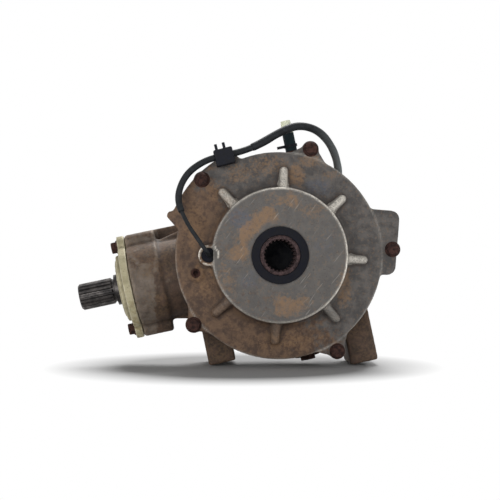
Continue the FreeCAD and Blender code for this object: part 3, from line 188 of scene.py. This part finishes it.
def weathered_casting(name, clean, soil_and_shade, stain, bright, crust="2E231D", cool="565A63", bare="7A7973",
                      scratched=0.0):
    """Sand-cast aluminium after years outdoors: grey metal, dried mud, rust-tan stains, worn edges, painted
    highlights and shade.

    Reads the piece's own attributes: wear where it is worn bright and where a highlight is painted, hollow
    how deep it lies, soil where mud has settled and where shade is painted in the mud colour, stain and cool
    where it is stained tan or bluish, bare where the metal is cleanest.
    """
    material, tree, shader, where = blank_material(name)
    marks = {mark: add(tree, "ShaderNodeAttribute", attribute_name=mark).outputs["Fac"]
             for mark in ("wear_and_highlight", "hollow", "soil_and_shade", "stain", "cool", "bare")}
    grain = noise(tree, where, 1.3, 3.0)
    ragged = ranged(tree, patches(tree, where, 5.0, 0.3, 0.7, 5.0, 0.3), 0, 1, -0.3, 0.3)
    tone = blended(tree, patches(tree, where, 9.0, 0.36, 0.64, 5.0), clean[0], clean[1])
    tone = blended(tree, times(tree, marks["bare"], 0.8), tone, bare)
    bluish = ranged(tree, times(tree, marks["cool"], ragged, "ADD"), 0.25, 0.8, 0, 0.7)
    tone = blended(tree, bluish, tone, cool)
    # The mud colour also paints shade where the soil mark carries it, on the pinion block's upward faces
    muddy_and_shaded = ranged(tree, times(tree, marks["soil_and_shade"], ragged, "ADD"), 0.3, 0.7)
    mud = blended(tree, patches(tree, where, 7.0, 0.35, 0.65, 5.0, 0.9), soil_and_shade[0], soil_and_shade[1])
    tone = blended(tree, muddy_and_shaded, tone, mud)
    fine = ranged(tree, patches(tree, where, 2.4, 0.3, 0.7, 5.0, 1.7), 0, 1, -0.4, 0.4)
    stained = ranged(tree, times(tree, marks["stain"], fine, "ADD"), 0.1, 1.1, 0, 0.75)
    tone = blended(tree, stained, tone, stain)
    tone = blended(tree, times(tree, marks["hollow"], 0.65), tone, crust)
    specks = patches(tree, where, 1.5, 0.6, 0.72, 2.0, 2.3)
    tone = blended(tree, times(tree, specks, 0.4), tone, crust)
    # Wear and painted highlight: on the cover this mask also carries the painted highlight along the boss
    # edge and on the ribs
    rubbed_and_highlit = times(tree, marks["wear_and_highlight"], ranged(tree, grain, 0.32, 0.6, 0.35, 1.0))
    if scratched:
        lines = times(tree, times(tree, scratches(tree, where), marks["bare"]), scratched)
        rubbed_and_highlit = times(tree, rubbed_and_highlit, lines, "ADD")
    tone = blended(tree, rubbed_and_highlit, tone, bright)
    tree.links.new(tone, shader.inputs["Base Color"])
    tree.links.new(ranged(tree, rubbed_and_highlit, 0, 1, 0.12, 0.7), shader.inputs["Metallic"])
    tree.links.new(ranged(tree, rubbed_and_highlit, 0, 1, 0.74, 0.38), shader.inputs["Roughness"])
    roughened(tree, shader, grain, 0.55, 0.35)
    return material


def scratches(tree, where):
    """Mask of sparse thin scratches: noise drawn out along a slanting direction, cut high."""
    drawn = add(tree, "ShaderNodeMapping", {"Vector": where, "Rotation": (0, math.radians(38), 0),
                                            "Scale": (1.0, 1.0, 14.0)}, vector_type="TEXTURE")
    return ranged(tree, noise(tree, drawn.outputs[0], 1.4, 1.0), 0.69, 0.76)


def rusty_steel(name, dark="33221F", light="6E4A44"):
    """Zinc-plated steel whose plating is gone: matt red-brown rust with darker pits."""
    material, tree, shader, where = blank_material(name)
    blotch = patches(tree, where, 3.0, 0.35, 0.65, 4.0)
    tone = blended(tree, blotch, dark, light)
    tone = blended(tree, patches(tree, where, 1.1, 0.6, 0.75, 2.0, 0.4), tone, "241918")
    tree.links.new(tone, shader.inputs["Base Color"])
    shader.inputs["Metallic"].default_value = 0.1
    shader.inputs["Roughness"].default_value = 0.85
    shader.inputs["Specular IOR Level"].default_value = 0.2
    roughened(tree, shader, blotch, 0.5, 0.2)
    return material


def machined_steel(name, dark, light, metallic=0.7, roughness=0.42):
    """Turned or ground steel with a film of old oil; fine grain bump."""
    material, tree, shader, where = blank_material(name)
    film = patches(tree, where, 6.0, 0.35, 0.65, 4.0)
    tree.links.new(blended(tree, film, dark, light), shader.inputs["Base Color"])
    shader.inputs["Metallic"].default_value = metallic
    tree.links.new(ranged(tree, film, 0, 1, roughness + 0.1, roughness - 0.08), shader.inputs["Roughness"])
    grain = noise(tree, where, 0.8)
    roughened(tree, shader, grain, 0.25, 0.1)
    return material


def rubber(name, dark, light, roughness=0.6):
    """Moulded nitrile rubber: near black, with a dusty film in patches."""
    material, tree, shader, where = blank_material(name)
    dust = patches(tree, where, 5.0, 0.4, 0.7, 4.0)
    tree.links.new(blended(tree, dust, dark, light), shader.inputs["Base Color"])
    tree.links.new(ranged(tree, dust, 0, 1, roughness - 0.12, roughness + 0.15), shader.inputs["Roughness"])
    shader.inputs["Specular IOR Level"].default_value = 0.15
    grain = noise(tree, where, 0.6)
    roughened(tree, shader, grain, 0.2, 0.1)
    return material


def dusted_sleeve(name):
    """Extruded vinyl: black towards the front, and greyer with dust where it turns down behind the case."""
    material, tree, shader, where = blank_material(name)
    back = add(tree, "ShaderNodeSeparateXYZ", {0: where}).outputs["Y"]
    dusty = ranged(tree, back, 0.042, 0.075, 0, 0.85)
    film = patches(tree, where, 4.0, 0.35, 0.7, 3.0)
    tone = blended(tree, film, "0C0F12", "1C2024")
    tree.links.new(blended(tree, dusty, tone, "6E7374"), shader.inputs["Base Color"])
    shader.inputs["Roughness"].default_value = 0.62
    shader.inputs["Specular IOR Level"].default_value = 0.25
    grain = noise(tree, where, 0.8)
    roughened(tree, shader, grain, 0.2, 0.1)
    return material


MATERIALS = {
    # On the housing the mud colours also paint shade on the pinion block's upward faces
    "housing_cast": weathered_casting("sand_cast_aluminium_muddy", ("5A5047", "6F645A"), ("36291F", "513E32"),
                                      "70583F", "A0917F"),
    # The cover's near-white F4EEE2 is for worn edges and also for the painted highlights on the boss edge and
    # the ribs
    "cover_cast": weathered_casting("sand_cast_aluminium_grey", ("42403F", "5D5956"), ("48372D", "6A5340"),
                                    "8E6E4E", "F4EEE2", bare="625F5C", scratched=0.16),
    "plate_cast": weathered_casting("cast_aluminium_oily", ("9A9376", "B2AA8C"), ("85785A", "9A8C66"),
                                    "A08F6E", "D8D2BC"),
    "gear_steel": machined_steel("ground_gear_steel", "4A4846", "6A6865"),
    "spline_steel": machined_steel("oiled_spline_steel", "2A2828", "4E4A48", 0.6),
    "bearing_steel": machined_steel("ground_bearing_steel", "8A8A8C", "A4A4A6", 0.9, 0.25),
    "rusty_steel": rusty_steel("rusted_fastener_steel", "261A18", "48312B"),
    "hub_steel": rusty_steel("stained_hub_steel", "33292A", "574646"),
    "bush_bronze": machined_steel("sintered_bronze", "7A5A30", "A08050", 0.9, 0.4),
    "seal_rubber": rubber("moulded_nitrile_rubber", "0E0F15", "1A1B23", 0.75),
    "hose_rubber": rubber("hose_rubber", "101C20", "1E2E32", 0.65),
    "lead_plastic": dusted_sleeve("extruded_vinyl_sleeve"),
    "clip_plastic": rubber("moulded_black_nylon", "101117", "1C1E26", 0.6),
    "coil_steel": machined_steel("potted_coil_cup", "4C4232", "6A5E48", 0.4, 0.5),
    "cap_plastic": rubber("moulded_pale_plastic", "F0F4D6", "FAFCEA", 0.5),
}


def dress(piece, material):
    """Gives a piece one material."""
    piece.data.materials.clear()
    piece.data.materials.append(material)


def finish_piece(piece, node, body=None):
    """A new piece takes its node's place and body, and its slot's material."""
    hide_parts(node)
    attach(piece, body or BODIES[node])
    dress(piece, MATERIALS[SLOTS[node]])
    return piece


def lattice_noise(points, size, seed):
    """Smooth value noise from -1 to 1 at points: random values on a lattice of that size, blended.

    The value at a lattice corner is a hash of its whole-number place, sin(corner . k + seed) folded.
    """
    scaled = points / size
    base = np.floor(scaled)
    part = scaled - base
    part = part * part * (3 - 2 * part)
    total = np.zeros(len(points))
    for corner in np.ndindex(2, 2, 2):
        offset = np.array(corner)
        key = (base + offset) @ np.array([12.9898, 78.233, 37.719]) + seed * 17.13
        value = np.modf(np.abs(np.sin(key)) * 43758.5453)[0] * 2 - 1
        weight = np.prod(np.where(offset == 1, part, 1 - part), axis=1)
        total += value * weight
    return total


def mesh_arrays(mesh):
    """Vertex places and normals of a mesh as arrays."""
    count = len(mesh.vertices)
    places = np.empty(count * 3)
    normals = np.empty(count * 3)
    mesh.vertices.foreach_get("co", places)
    mesh.vertices.foreach_get("normal", normals)
    return places.reshape(-1, 3), normals.reshape(-1, 3)


def neighbour_mean(mesh, places, rounds):
    """Mean place of the vertices around each vertex, repeated: p' = mean of p over its edges."""
    edges = np.empty(len(mesh.edges) * 2, np.int64)
    mesh.edges.foreach_get("vertices", edges)
    edges = edges.reshape(-1, 2)
    count = np.bincount(edges.ravel(), minlength=len(places)).astype(float)
    count[count == 0] = 1
    for _ in range(rounds):
        total = np.zeros_like(places)
        for axis in range(3):
            total[:, axis] = (np.bincount(edges[:, 0], places[edges[:, 1], axis], len(places)) +
                              np.bincount(edges[:, 1], places[edges[:, 0], axis], len(places)))
        places = total / count[:, None]
    return places


def store(mesh, name, values):
    """Keeps one number per vertex as an attribute that the materials read."""
    layer = mesh.attributes.new(name, "FLOAT", "POINT")
    layer.data.foreach_set("value", np.clip(values, 0, 1).astype(np.float32))


def rim_outlines():
    """Outlines in x and z of the rim's wider stretch at the upper left and of the webs into its lugs.

    The stretch is an arc at its reach, closed on the rim at radius RIM_R - 9. Each web runs from a lug's two
    sides to points LUG_FLARE to either side of it on the rim.
    """
    reach, low, high = SHOULDER
    turns = np.radians(np.linspace(low, high, 14))
    wide = [(reach * math.cos(turn), reach * math.sin(turn)) for turn in turns]
    near = np.radians([high, low])
    outlines = [wide + [((RIM_R - 9) * math.cos(turn), (RIM_R - 9) * math.sin(turn)) for turn in near]]
    for reach, degrees in LUGS:
        turn = math.radians(degrees)
        outward = np.array([math.cos(turn), math.sin(turn)])
        side = np.array([-math.sin(turn), math.cos(turn)])
        web = [reach * outward + LUG_R * side]
        for radius, swing in ((RIM_R + 1.4, 0.6), (RIM_R - 1.0, 1.0), (RIM_R - 14, 0.0), (RIM_R - 1.0, -1.0),
                              (RIM_R + 1.4, -0.6)):
            corner = turn + math.radians(LUG_FLARE * swing)
            web.append((radius * math.cos(corner), radius * math.sin(corner)))
        outlines.append(web + [reach * outward - LUG_R * side])
    return outlines


def add_prism(work, outline, y0, y1):
    """Adds a closed prism to a bmesh: an outline in x and z, in millimetres, drawn from y0 to y1."""
    front = [work.verts.new((x * MM, y0 * MM, z * MM)) for x, z in outline]
    back = [work.verts.new((x * MM, y1 * MM, z * MM)) for x, z in outline]
    made = [work.faces.new(front), work.faces.new(back[::-1])]
    for i in range(len(outline)):
        made.append(work.faces.new((front[i - 1], back[i - 1], back[i], front[i])))
    bmesh.ops.recalc_face_normals(work, faces=made)


# How many rings of vertices count as a vertex's surroundings, and the depth under them that is a full hollow
SURROUNDINGS = 4
HOLLOW_MM = 0.45


def softened(node, voxel, rounds, pits, marked, rim=None):
    """Copy of a CAD node with rounded edges and a pitted skin.

    The copy is merged, given the rim's outlines over the y range named rim, and remeshed at voxel. Its
    places p become the mean of their neighbours, as often as rounds says, and then
    p - n * pits * (0.5 + 0.5 * noise at 1.5 mm and 5 mm) with the normal n. Its marks are numbers per
    vertex: hollow is how far p lies under the mean of its surroundings, and marked gives the others from
    p, n and the height of p over that mean.
    """
    mesh = NODES[node].data.copy()
    work = bmesh.new()
    work.from_mesh(mesh)
    bmesh.ops.remove_doubles(work, verts=work.verts, dist=0.00002)
    if rim:
        for outline in rim_outlines():
            add_prism(work, outline, *rim)
    work.to_mesh(mesh)
    work.free()
    piece = bpy.data.objects.new(node + "_casting", mesh)
    bpy.context.scene.collection.objects.link(piece)
    remesh = piece.modifiers.new("remesh", "REMESH")
    remesh.mode = "VOXEL"
    remesh.voxel_size = voxel
    evaluated = piece.evaluated_get(bpy.context.evaluated_depsgraph_get())
    fine = bpy.data.meshes.new_from_object(evaluated)
    piece.modifiers.clear()
    piece.data = fine
    places, normals = mesh_arrays(fine)
    smooth = neighbour_mean(fine, places, rounds)
    height = np.einsum("ij,ij->i", places - neighbour_mean(fine, places, SURROUNDINGS), normals) / MM
    skin = 0.6 * lattice_noise(places, 0.0015, 1.0) + 0.4 * lattice_noise(places, 0.005, 2.0)
    moved = smooth - normals * (pits * (0.5 + 0.5 * skin))[:, None]
    fine.vertices.foreach_set("co", moved.ravel())
    fine.update()
    marks = marked(places, normals, height)
    marks["hollow"] = -height / HOLLOW_MM
    for name, values in marks.items():
        store(fine, name, values)
    fine.shade_smooth()
    return finish_piece(piece, node)


def step(value, low, high):
    """Smooth step of an array from 0 at low to 1 at high."""
    t = np.clip((value - low) / (high - low), 0, 1)
    return t * t * (3 - 2 * t)


def patch_marks(x, z, drift, spots):
    """Soft-edged ellipses: 1 where hypot((x - cx) / w, (z - cz) / h) + drift is small, times the strength."""
    total = np.zeros(len(x))
    for centre_x, centre_z, wide, high, strength in spots:
        away = np.hypot((x - centre_x) / wide, (z - centre_z) / high) + drift
        total = np.maximum(total, strength * (1 - step(away, 0.35, 1.35)))
    return total


def rib_marks(x, y, z):
    """Worn tops and shoulders of the ribs with a painted highlight: brighter the more a rib points in
    RIB_LIGHT, and brightest on its shoulders.
    """
    total = np.zeros(len(x))
    for i in range(round(360 / RIB_STEP)):
        turn = math.radians(RIB_FIRST + i * RIB_STEP)
        along = x * math.cos(turn) + z * math.sin(turn)
        across = np.abs(z * math.cos(turn) - x * math.sin(turn))
        inside = (along > BOSS_R - 0.5) & (along < RIB_END_R + 1.5) & (across < RIB_FOOT / 2 - 0.6)
        inside &= y < FLANGE_YS[0] - 3.5
        # Painted highlight: ribs pointing towards RIB_LIGHT, and the shoulders of each rib, are made brighter
        facing = RIB_LIGHT[0] * math.cos(turn) + RIB_LIGHT[1] * math.sin(turn)
        strength = 0.08 + 0.92 * step(facing, -0.95, 1.15)
        total = np.maximum(total, inside * strength * (0.7 + 0.3 * step(across, 2.0, 3.6)))
    return total


def seal_stain(radius, turn, drift, ragged):
    """The stain round the upper left of the seal: full near its middle radius and turn, with ragged edges."""
    middle_r, half_r, middle_turn, half_turn = SEAL_STAIN
    off = np.abs((turn - middle_turn + 180) % 360 - 180)
    ring = 1 - step(np.abs(radius - middle_r) / half_r + ragged, 0.5, 1.3)
    return ring * (1 - step(off / half_turn + 0.3 * drift, 0.7, 1.1))


def rubbed_lines_and_highlight(places, radius, turn, drift, cleaner):
    """Bright lines: a painted highlight along the boss edge, stronger towards the upper right, and worn lines
    along the rim edge away from its wider stretch and round the wire boss.
    """
    x, y, z = (places / MM).T
    # Painted highlight: a bright line along the boss edge, weaker away from the upper right
    lit = 0.45 + 0.55 * step(cleaner, -45, 35)
    boss_highlight = np.exp(-((radius - BOSS_R + 0.6) / 1.0) ** 2) * (y < 1.6) * lit
    _, low, high = SHOULDER
    widened = step(turn, low - 20, low - 10) * (1 - step(turn, high + 6, high + 14))
    rim_line = (0.2 + 0.25 * drift) * np.exp(-((radius - RIM_R + 0.2) / 0.8) ** 2)
    rim_line = rim_line * (y < FLANGE_YS[0] + 1.2) * (1 - widened)
    round_wire = np.abs(np.hypot(x - WIRE_BOSS[0], z - WIRE_BOSS[1]) - WIRE_BOSS_R + 0.8)
    wire_line = 0.6 * (round_wire + 1.6 * lattice_noise(places, 0.004, 8.0) < 0.7) * (y < 3.0)
    return boss_highlight * (0.75 + 0.4 * drift) + rim_line + wire_line


def cover_marks(places, normals, height):
    """Mud on the left and lower rim, stains round the seal and on the rim, a painted highlight along the boss
    edge, and worn ribs with a painted highlight.
    """
    x, y, z = (places / MM).T
    radius = np.hypot(x, z)
    turn = np.degrees(np.arctan2(z, x))
    drift = lattice_noise(places, 0.012, 3.0)
    wide_drift = 16 * lattice_noise(places, 0.030, 5.0) + 16 * drift
    ragged = 0.5 * drift + 0.3 * lattice_noise(places, 0.0045, 9.0)
    cleaner = CLEAN_SIDE[0] * x + CLEAN_SIDE[1] * z
    disc = 1 - step(radius, BOSS_R - 1.0, BOSS_R + 1.5)
    soil_and_shade = (1 - step(cleaner + wide_drift, -46, 24)) * (1 - 0.8 * disc)
    stain = np.maximum(patch_marks(x, z, ragged, STAINS), 0.9 * seal_stain(radius, turn, drift, ragged))
    facing_front = step(-normals[:, 1], 0.2, 0.7)
    # Rib marks and bright lines: wear together with painted highlights
    ribs = rib_marks(x, y, z) * (0.4 + 0.6 * facing_front)
    wear_and_highlight = rubbed_lines_and_highlight(places, radius, turn, drift, cleaner) + ribs
    return {"soil_and_shade": soil_and_shade, "stain": stain, "wear_and_highlight": wear_and_highlight, "bare": 0.75 * disc,
            "cool": patch_marks(x, z, 0.5 * drift, BLUE_PATCHES)}


def case_marks(places, normals, height):
    """Mud all over the bowl and the feet, a little lighter on the bowl's upward faces, and barer metal on the
    pinion block at the left, whose upward faces are darkened with the mud colour as painted shade.
    """
    drift = lattice_noise(places, 0.022, 4.0)
    block = step(-places[:, 0] + 0.004 * drift, 0.106, 0.113)
    # Upward faces: painted shade on the pinion block, darkened with the mud colour; on the bowl they are a
    # little lighter
    up = step(normals[:, 2], 0.15, 0.7)
    soil_and_shade = 0.95 - 0.75 * block + (0.5 * block - 0.15) * up + 0.25 * drift
    stain = 0.25 + 0.35 * lattice_noise(places, 0.013, 6.0) + 0.25 * step(normals[:, 2], 0.3, 0.9)
    return {"soil_and_shade": soil_and_shade, "stain": stain, "wear_and_highlight": 0.35 * block * step(height, 0.25, 0.5)}


def plate_marks(places, normals, height):
    """A light film on the end plate, heavier at its lower ear, with rubbed corners."""
    soil_and_shade = 0.5 - 0.4 * step(places[:, 2], -0.08, 0.0)
    stain = 0.3 * lattice_noise(places, 0.008, 7.0)
    return {"soil_and_shade": soil_and_shade, "stain": stain, "wear_and_highlight": 0.6 * step(height, 0.2, 0.45)}


def castings():
    """The three cast pieces: the case has the coarsest skin and the end plate the finest."""
    softened("output_cover", voxel=0.0013, rounds=1, pits=0.00016, marked=cover_marks, rim=FLANGE_YS[:2])
    softened("gearcase_housing", voxel=0.0016, rounds=2, pits=0.00022, marked=case_marks, rim=FLANGE_YS[1:])
    softened("input_cover", voxel=0.0009, rounds=1, pits=0.00012, marked=plate_marks)


def route_places(route):
    """Places in metres of a route given in millimetres."""
    return [tuple(value * MM for value in place) for place in route]


def route_curve(points, name):
    """Curve with one order-3 NURBS spline whose control points are the route."""
    curve = bpy.data.curves.new(name, "CURVE")
    curve.dimensions = "3D"
    spline = curve.splines.new("NURBS")
    spline.points.add(len(points) - 1)
    for point, place in zip(spline.points, points):
        point.co = (*place, 1.0)
        point.radius = WIRE_D / 2
    spline.order_u = 3
    spline.use_endpoint_u = True
    spline.resolution_u = 16
    holder = bpy.data.objects.new(name, curve)
    bpy.context.scene.collection.objects.link(holder)
    return holder


def route_line(holder):
    """Places along a curve that has no bevel yet, as Blender's spline gives them."""
    bpy.context.view_layer.update()
    mesh = bpy.data.meshes.new_from_object(holder.evaluated_get(bpy.context.evaluated_depsgraph_get()))
    line = np.empty(len(mesh.vertices) * 3)
    mesh.vertices.foreach_get("co", line)
    bpy.data.meshes.remove(mesh)
    return line.reshape(-1, 3)


def even_line(line, spacing):
    """The same line with points at equal steps of about the spacing, and its length."""
    steps = np.linalg.norm(np.diff(line, axis=0), axis=1)
    along = np.concatenate([[0], np.cumsum(steps)])
    wanted = np.linspace(0, along[-1], int(along[-1] / spacing) + 2)
    return np.stack([np.interp(wanted, along, line[:, i]) for i in range(3)], axis=1), float(along[-1])


def frames_along(line):
    """Unit side and up vectors across a line: each side is the last one less its part along the tangent."""
    tangent = np.gradient(line, axis=0)
    tangent /= np.linalg.norm(tangent, axis=1)[:, None]
    side = np.empty_like(line)
    start = np.cross(tangent[0], [0.3, 0.1, 1.0])
    side[0] = start / np.linalg.norm(start)
    for i in range(1, len(line)):
        carried = side[i - 1] - tangent[i] * np.dot(side[i - 1], tangent[i])
        side[i] = carried / np.linalg.norm(carried)
    return side, np.cross(tangent, side)


def grid_piece(name, grid):
    """Closed mesh of a grid of places: each row closes on itself, and the first and last row are capped."""
    rows, columns = grid.shape[:2]
    index = np.arange(rows * columns).reshape(rows, columns)
    right = np.roll(index, -1, axis=1)
    quads = np.stack([index[:-1], right[:-1], right[1:], index[1:]], axis=-1)
    faces = quads.reshape(-1, 4).tolist()
    faces += [index[0][::-1].tolist(), index[-1].tolist()]
    mesh = bpy.data.meshes.new(name)
    mesh.from_pydata(grid.reshape(-1, 3).tolist(), [], faces)
    mesh.update()
    work = bmesh.new()
    work.from_mesh(mesh)
    bmesh.ops.recalc_face_normals(work, faces=work.faces)
    work.to_mesh(mesh)
    work.free()
    mesh.shade_smooth()
    piece = bpy.data.objects.new(name, mesh)
    bpy.context.scene.collection.objects.link(piece)
    return piece


def tube(name, line, radius, sides):
    """Tube along a line: place = line(s) + radius(s) (side(s) cos a + up(s) sin a)."""
    side, up = frames_along(line)
    turn = np.linspace(0, 2 * np.pi, sides, endpoint=False)
    ring = side[:, None] * np.cos(turn)[None, :, None] + up[:, None] * np.sin(turn)[None, :, None]
    return grid_piece(name, line[:, None] + ring * radius[:, None, None])


def lead():
    """The two-wire lead on one smooth route, in a front and a rear sleeve."""
    wires, front, rear = (route_places(route) for route in (WIRE_ROUTE, SLEEVE_ROUTE, REAR_ROUTE))
    cord = route_curve(wires + front + rear, "lead_pair")
    line, length = even_line(route_line(cord), LINE_STEP)
    cord.data.bevel_depth = 1.0  # times each point's radius, which is the wires' own
    cord.data.bevel_resolution = 4
    cord.data.use_fill_caps = True
    first = (np.array(wires[-1]) + front[0]) / 2
    second = (np.array(front[-1]) + rear[0]) / 2
    start = np.argmin(np.linalg.norm(line - first, axis=1))
    middle = np.argmin(np.linalg.norm(line - second, axis=1))
    front_sleeve = sleeve("lead_front_sleeve", line[start:middle + SLEEVE_LAP], FRONT_SLEEVE_D / 2)
    rear_sleeve = sleeve("lead_rear_sleeve", line[middle:], REAR_SLEEVE_D / 2)
    finish_piece(cord, "lead_wires")
    finish_piece(front_sleeve, "lead_sleeve_front")
    finish_piece(rear_sleeve, "lead_sleeve_rear")


def sleeve(name, line, radius):
    """Cut length of sleeve: radius(s) = radius (1 - 0.04 wander(s)) (0.9 + 0.1 step(distance to an end))."""
    travel = np.arange(len(line)) * LINE_STEP
    wander = 1 - 0.04 * (0.5 + 0.5 * np.sin(travel / 0.0042 + 2.0 * np.sin(travel / 0.019)))
    ends = np.minimum(travel, travel[-1] - travel)
    return tube(name, line, radius * wander * (0.9 + 0.1 * step(ends, 0.0, 0.002)), SLEEVE_SIDES)


def dress_nodes():
    """Every CAD node gets its slot's material, and the hub plugs and the vent hose clamp then get black
    nylon.
    """
    for name, node in NODES.items():
        dress(node, MATERIALS[SLOTS[name]])
    for name in ("front_hub_plug", "rear_hub_plug", "vent_hose_clamp"):
        dress(NODES[name], MATERIALS["clip_plastic"])


def camera():
    """Camera on the photograph's line of sight, shifted so that the hub mouth is at its pixel."""
    data = bpy.data.cameras.new("camera")
    data.sensor_width = SENSOR_MM
    data.lens = FOCAL_PIXELS / PHOTO_SIZE * SENSOR_MM
    data.shift_x = -(HUB_PIXEL[0] - PHOTO_SIZE / 2) / PHOTO_SIZE
    data.shift_y = (HUB_PIXEL[1] - PHOTO_SIZE / 2) / PHOTO_SIZE
    data.clip_start = 0.05
    data.clip_end = 20
    eye = bpy.data.objects.new("camera", data)
    eye.location = (CAMERA_AWAY * math.sin(CAMERA_AZIMUTH) * math.cos(CAMERA_RISE),
                    -CAMERA_AWAY * math.cos(CAMERA_AZIMUTH) * math.cos(CAMERA_RISE),
                    CAMERA_AWAY * math.sin(CAMERA_RISE))
    eye.rotation_euler = (math.pi / 2 - CAMERA_RISE, 0, CAMERA_AZIMUTH)
    bpy.context.scene.collection.objects.link(eye)
    bpy.context.scene.camera = eye


# World strength for the light on the part, where 1 is the white that is seen
AMBIENT = 0.26
# Paper: its colour for the light, its colour as seen near the part, the shadow's middle on it, and how far
# from there it begins and ends to be seen as plain white
PAPER_LIT = "F0F0F0"
PAPER_SEEN = "9C9C9C"
SHADOW_MIDDLE = (-0.03, 0.05, 0.0)
PAPER_WHITE = (0.11, 0.18)


def lamp(name, place, size, watts):
    """Soft square lamp aimed at the middle of the part."""
    data = bpy.data.lights.new(name, "AREA")
    data.size = size
    data.energy = watts
    light = bpy.data.objects.new(name, data)
    light.location = place
    aim = -np.array(place)
    light.rotation_euler = (math.atan2(math.hypot(aim[0], aim[1]), -aim[2]), 0,
                            math.atan2(aim[1], aim[0]) - math.pi / 2)
    bpy.context.scene.collection.objects.link(light)


def seen_directly(tree):
    """1 for the camera's own rays and for those that metal or glass passes on, and 0 for the light."""
    path = add(tree, "ShaderNodeLightPath")
    return times(tree, times(tree, path.outputs["Is Camera Ray"], path.outputs["Is Glossy Ray"], "ADD"),
                 path.outputs["Is Transmission Ray"], "ADD")


def studio():
    """White world and paper, with soft lamps at the front left and right and above the back.

    The light falls on pale paper. Directly seen, the paper is greyer near the part, so that its shadow is as
    deep as the photograph's, and plain white farther off.
    """
    scene = bpy.context.scene
    scene.view_settings.view_transform = "Standard"
    world = bpy.data.worlds.new("studio")
    world.use_nodes = True
    tree = world.node_tree
    tree.nodes.clear()
    strength = ranged(tree, seen_directly(tree), 0, 1, AMBIENT, 1.0)
    back = add(tree, "ShaderNodeBackground", {"Color": (1, 1, 1, 1), "Strength": strength})
    out = add(tree, "ShaderNodeOutputWorld")
    tree.links.new(back.outputs[0], out.inputs[0])
    scene.world = world
    lamp("key", place=(-0.7, -1.3, 0.05), size=0.9, watts=13.0)
    lamp("behind", place=(0.05, 0.72, 1.02), size=0.6, watts=17.0)
    lamp("side", place=(1.1, -1.1, 0.0), size=0.8, watts=7.5)
    bpy.ops.mesh.primitive_plane_add(size=6, location=(0, 0, FLOOR_Z - PAPER_DROP))
    floor = bpy.context.object
    floor.name = "floor"
    material, tree, shader, where = blank_material("white_paper")
    shader.inputs["Roughness"].default_value = 0.9
    seen = seen_directly(tree)
    tree.links.new(blended(tree, seen, PAPER_LIT, PAPER_SEEN), shader.inputs["Base Color"])
    away = add(tree, "ShaderNodeVectorMath", {0: where, 1: SHADOW_MIDDLE}, operation="DISTANCE")
    far = times(tree, ranged(tree, away.outputs["Value"], *PAPER_WHITE), seen)
    glow = add(tree, "ShaderNodeEmission", {"Color": (1, 1, 1, 1), "Strength": 1.0})
    mix = add(tree, "ShaderNodeMixShader", {0: far, 1: shader.outputs[0], 2: glow.outputs[0]})
    tree.links.new(mix.outputs[0], tree.nodes["Material Output"].inputs["Surface"])
    floor.data.materials.append(material)


dress_nodes()
castings()
lead()
camera()
studio()
bpy.context.view_layer.update()
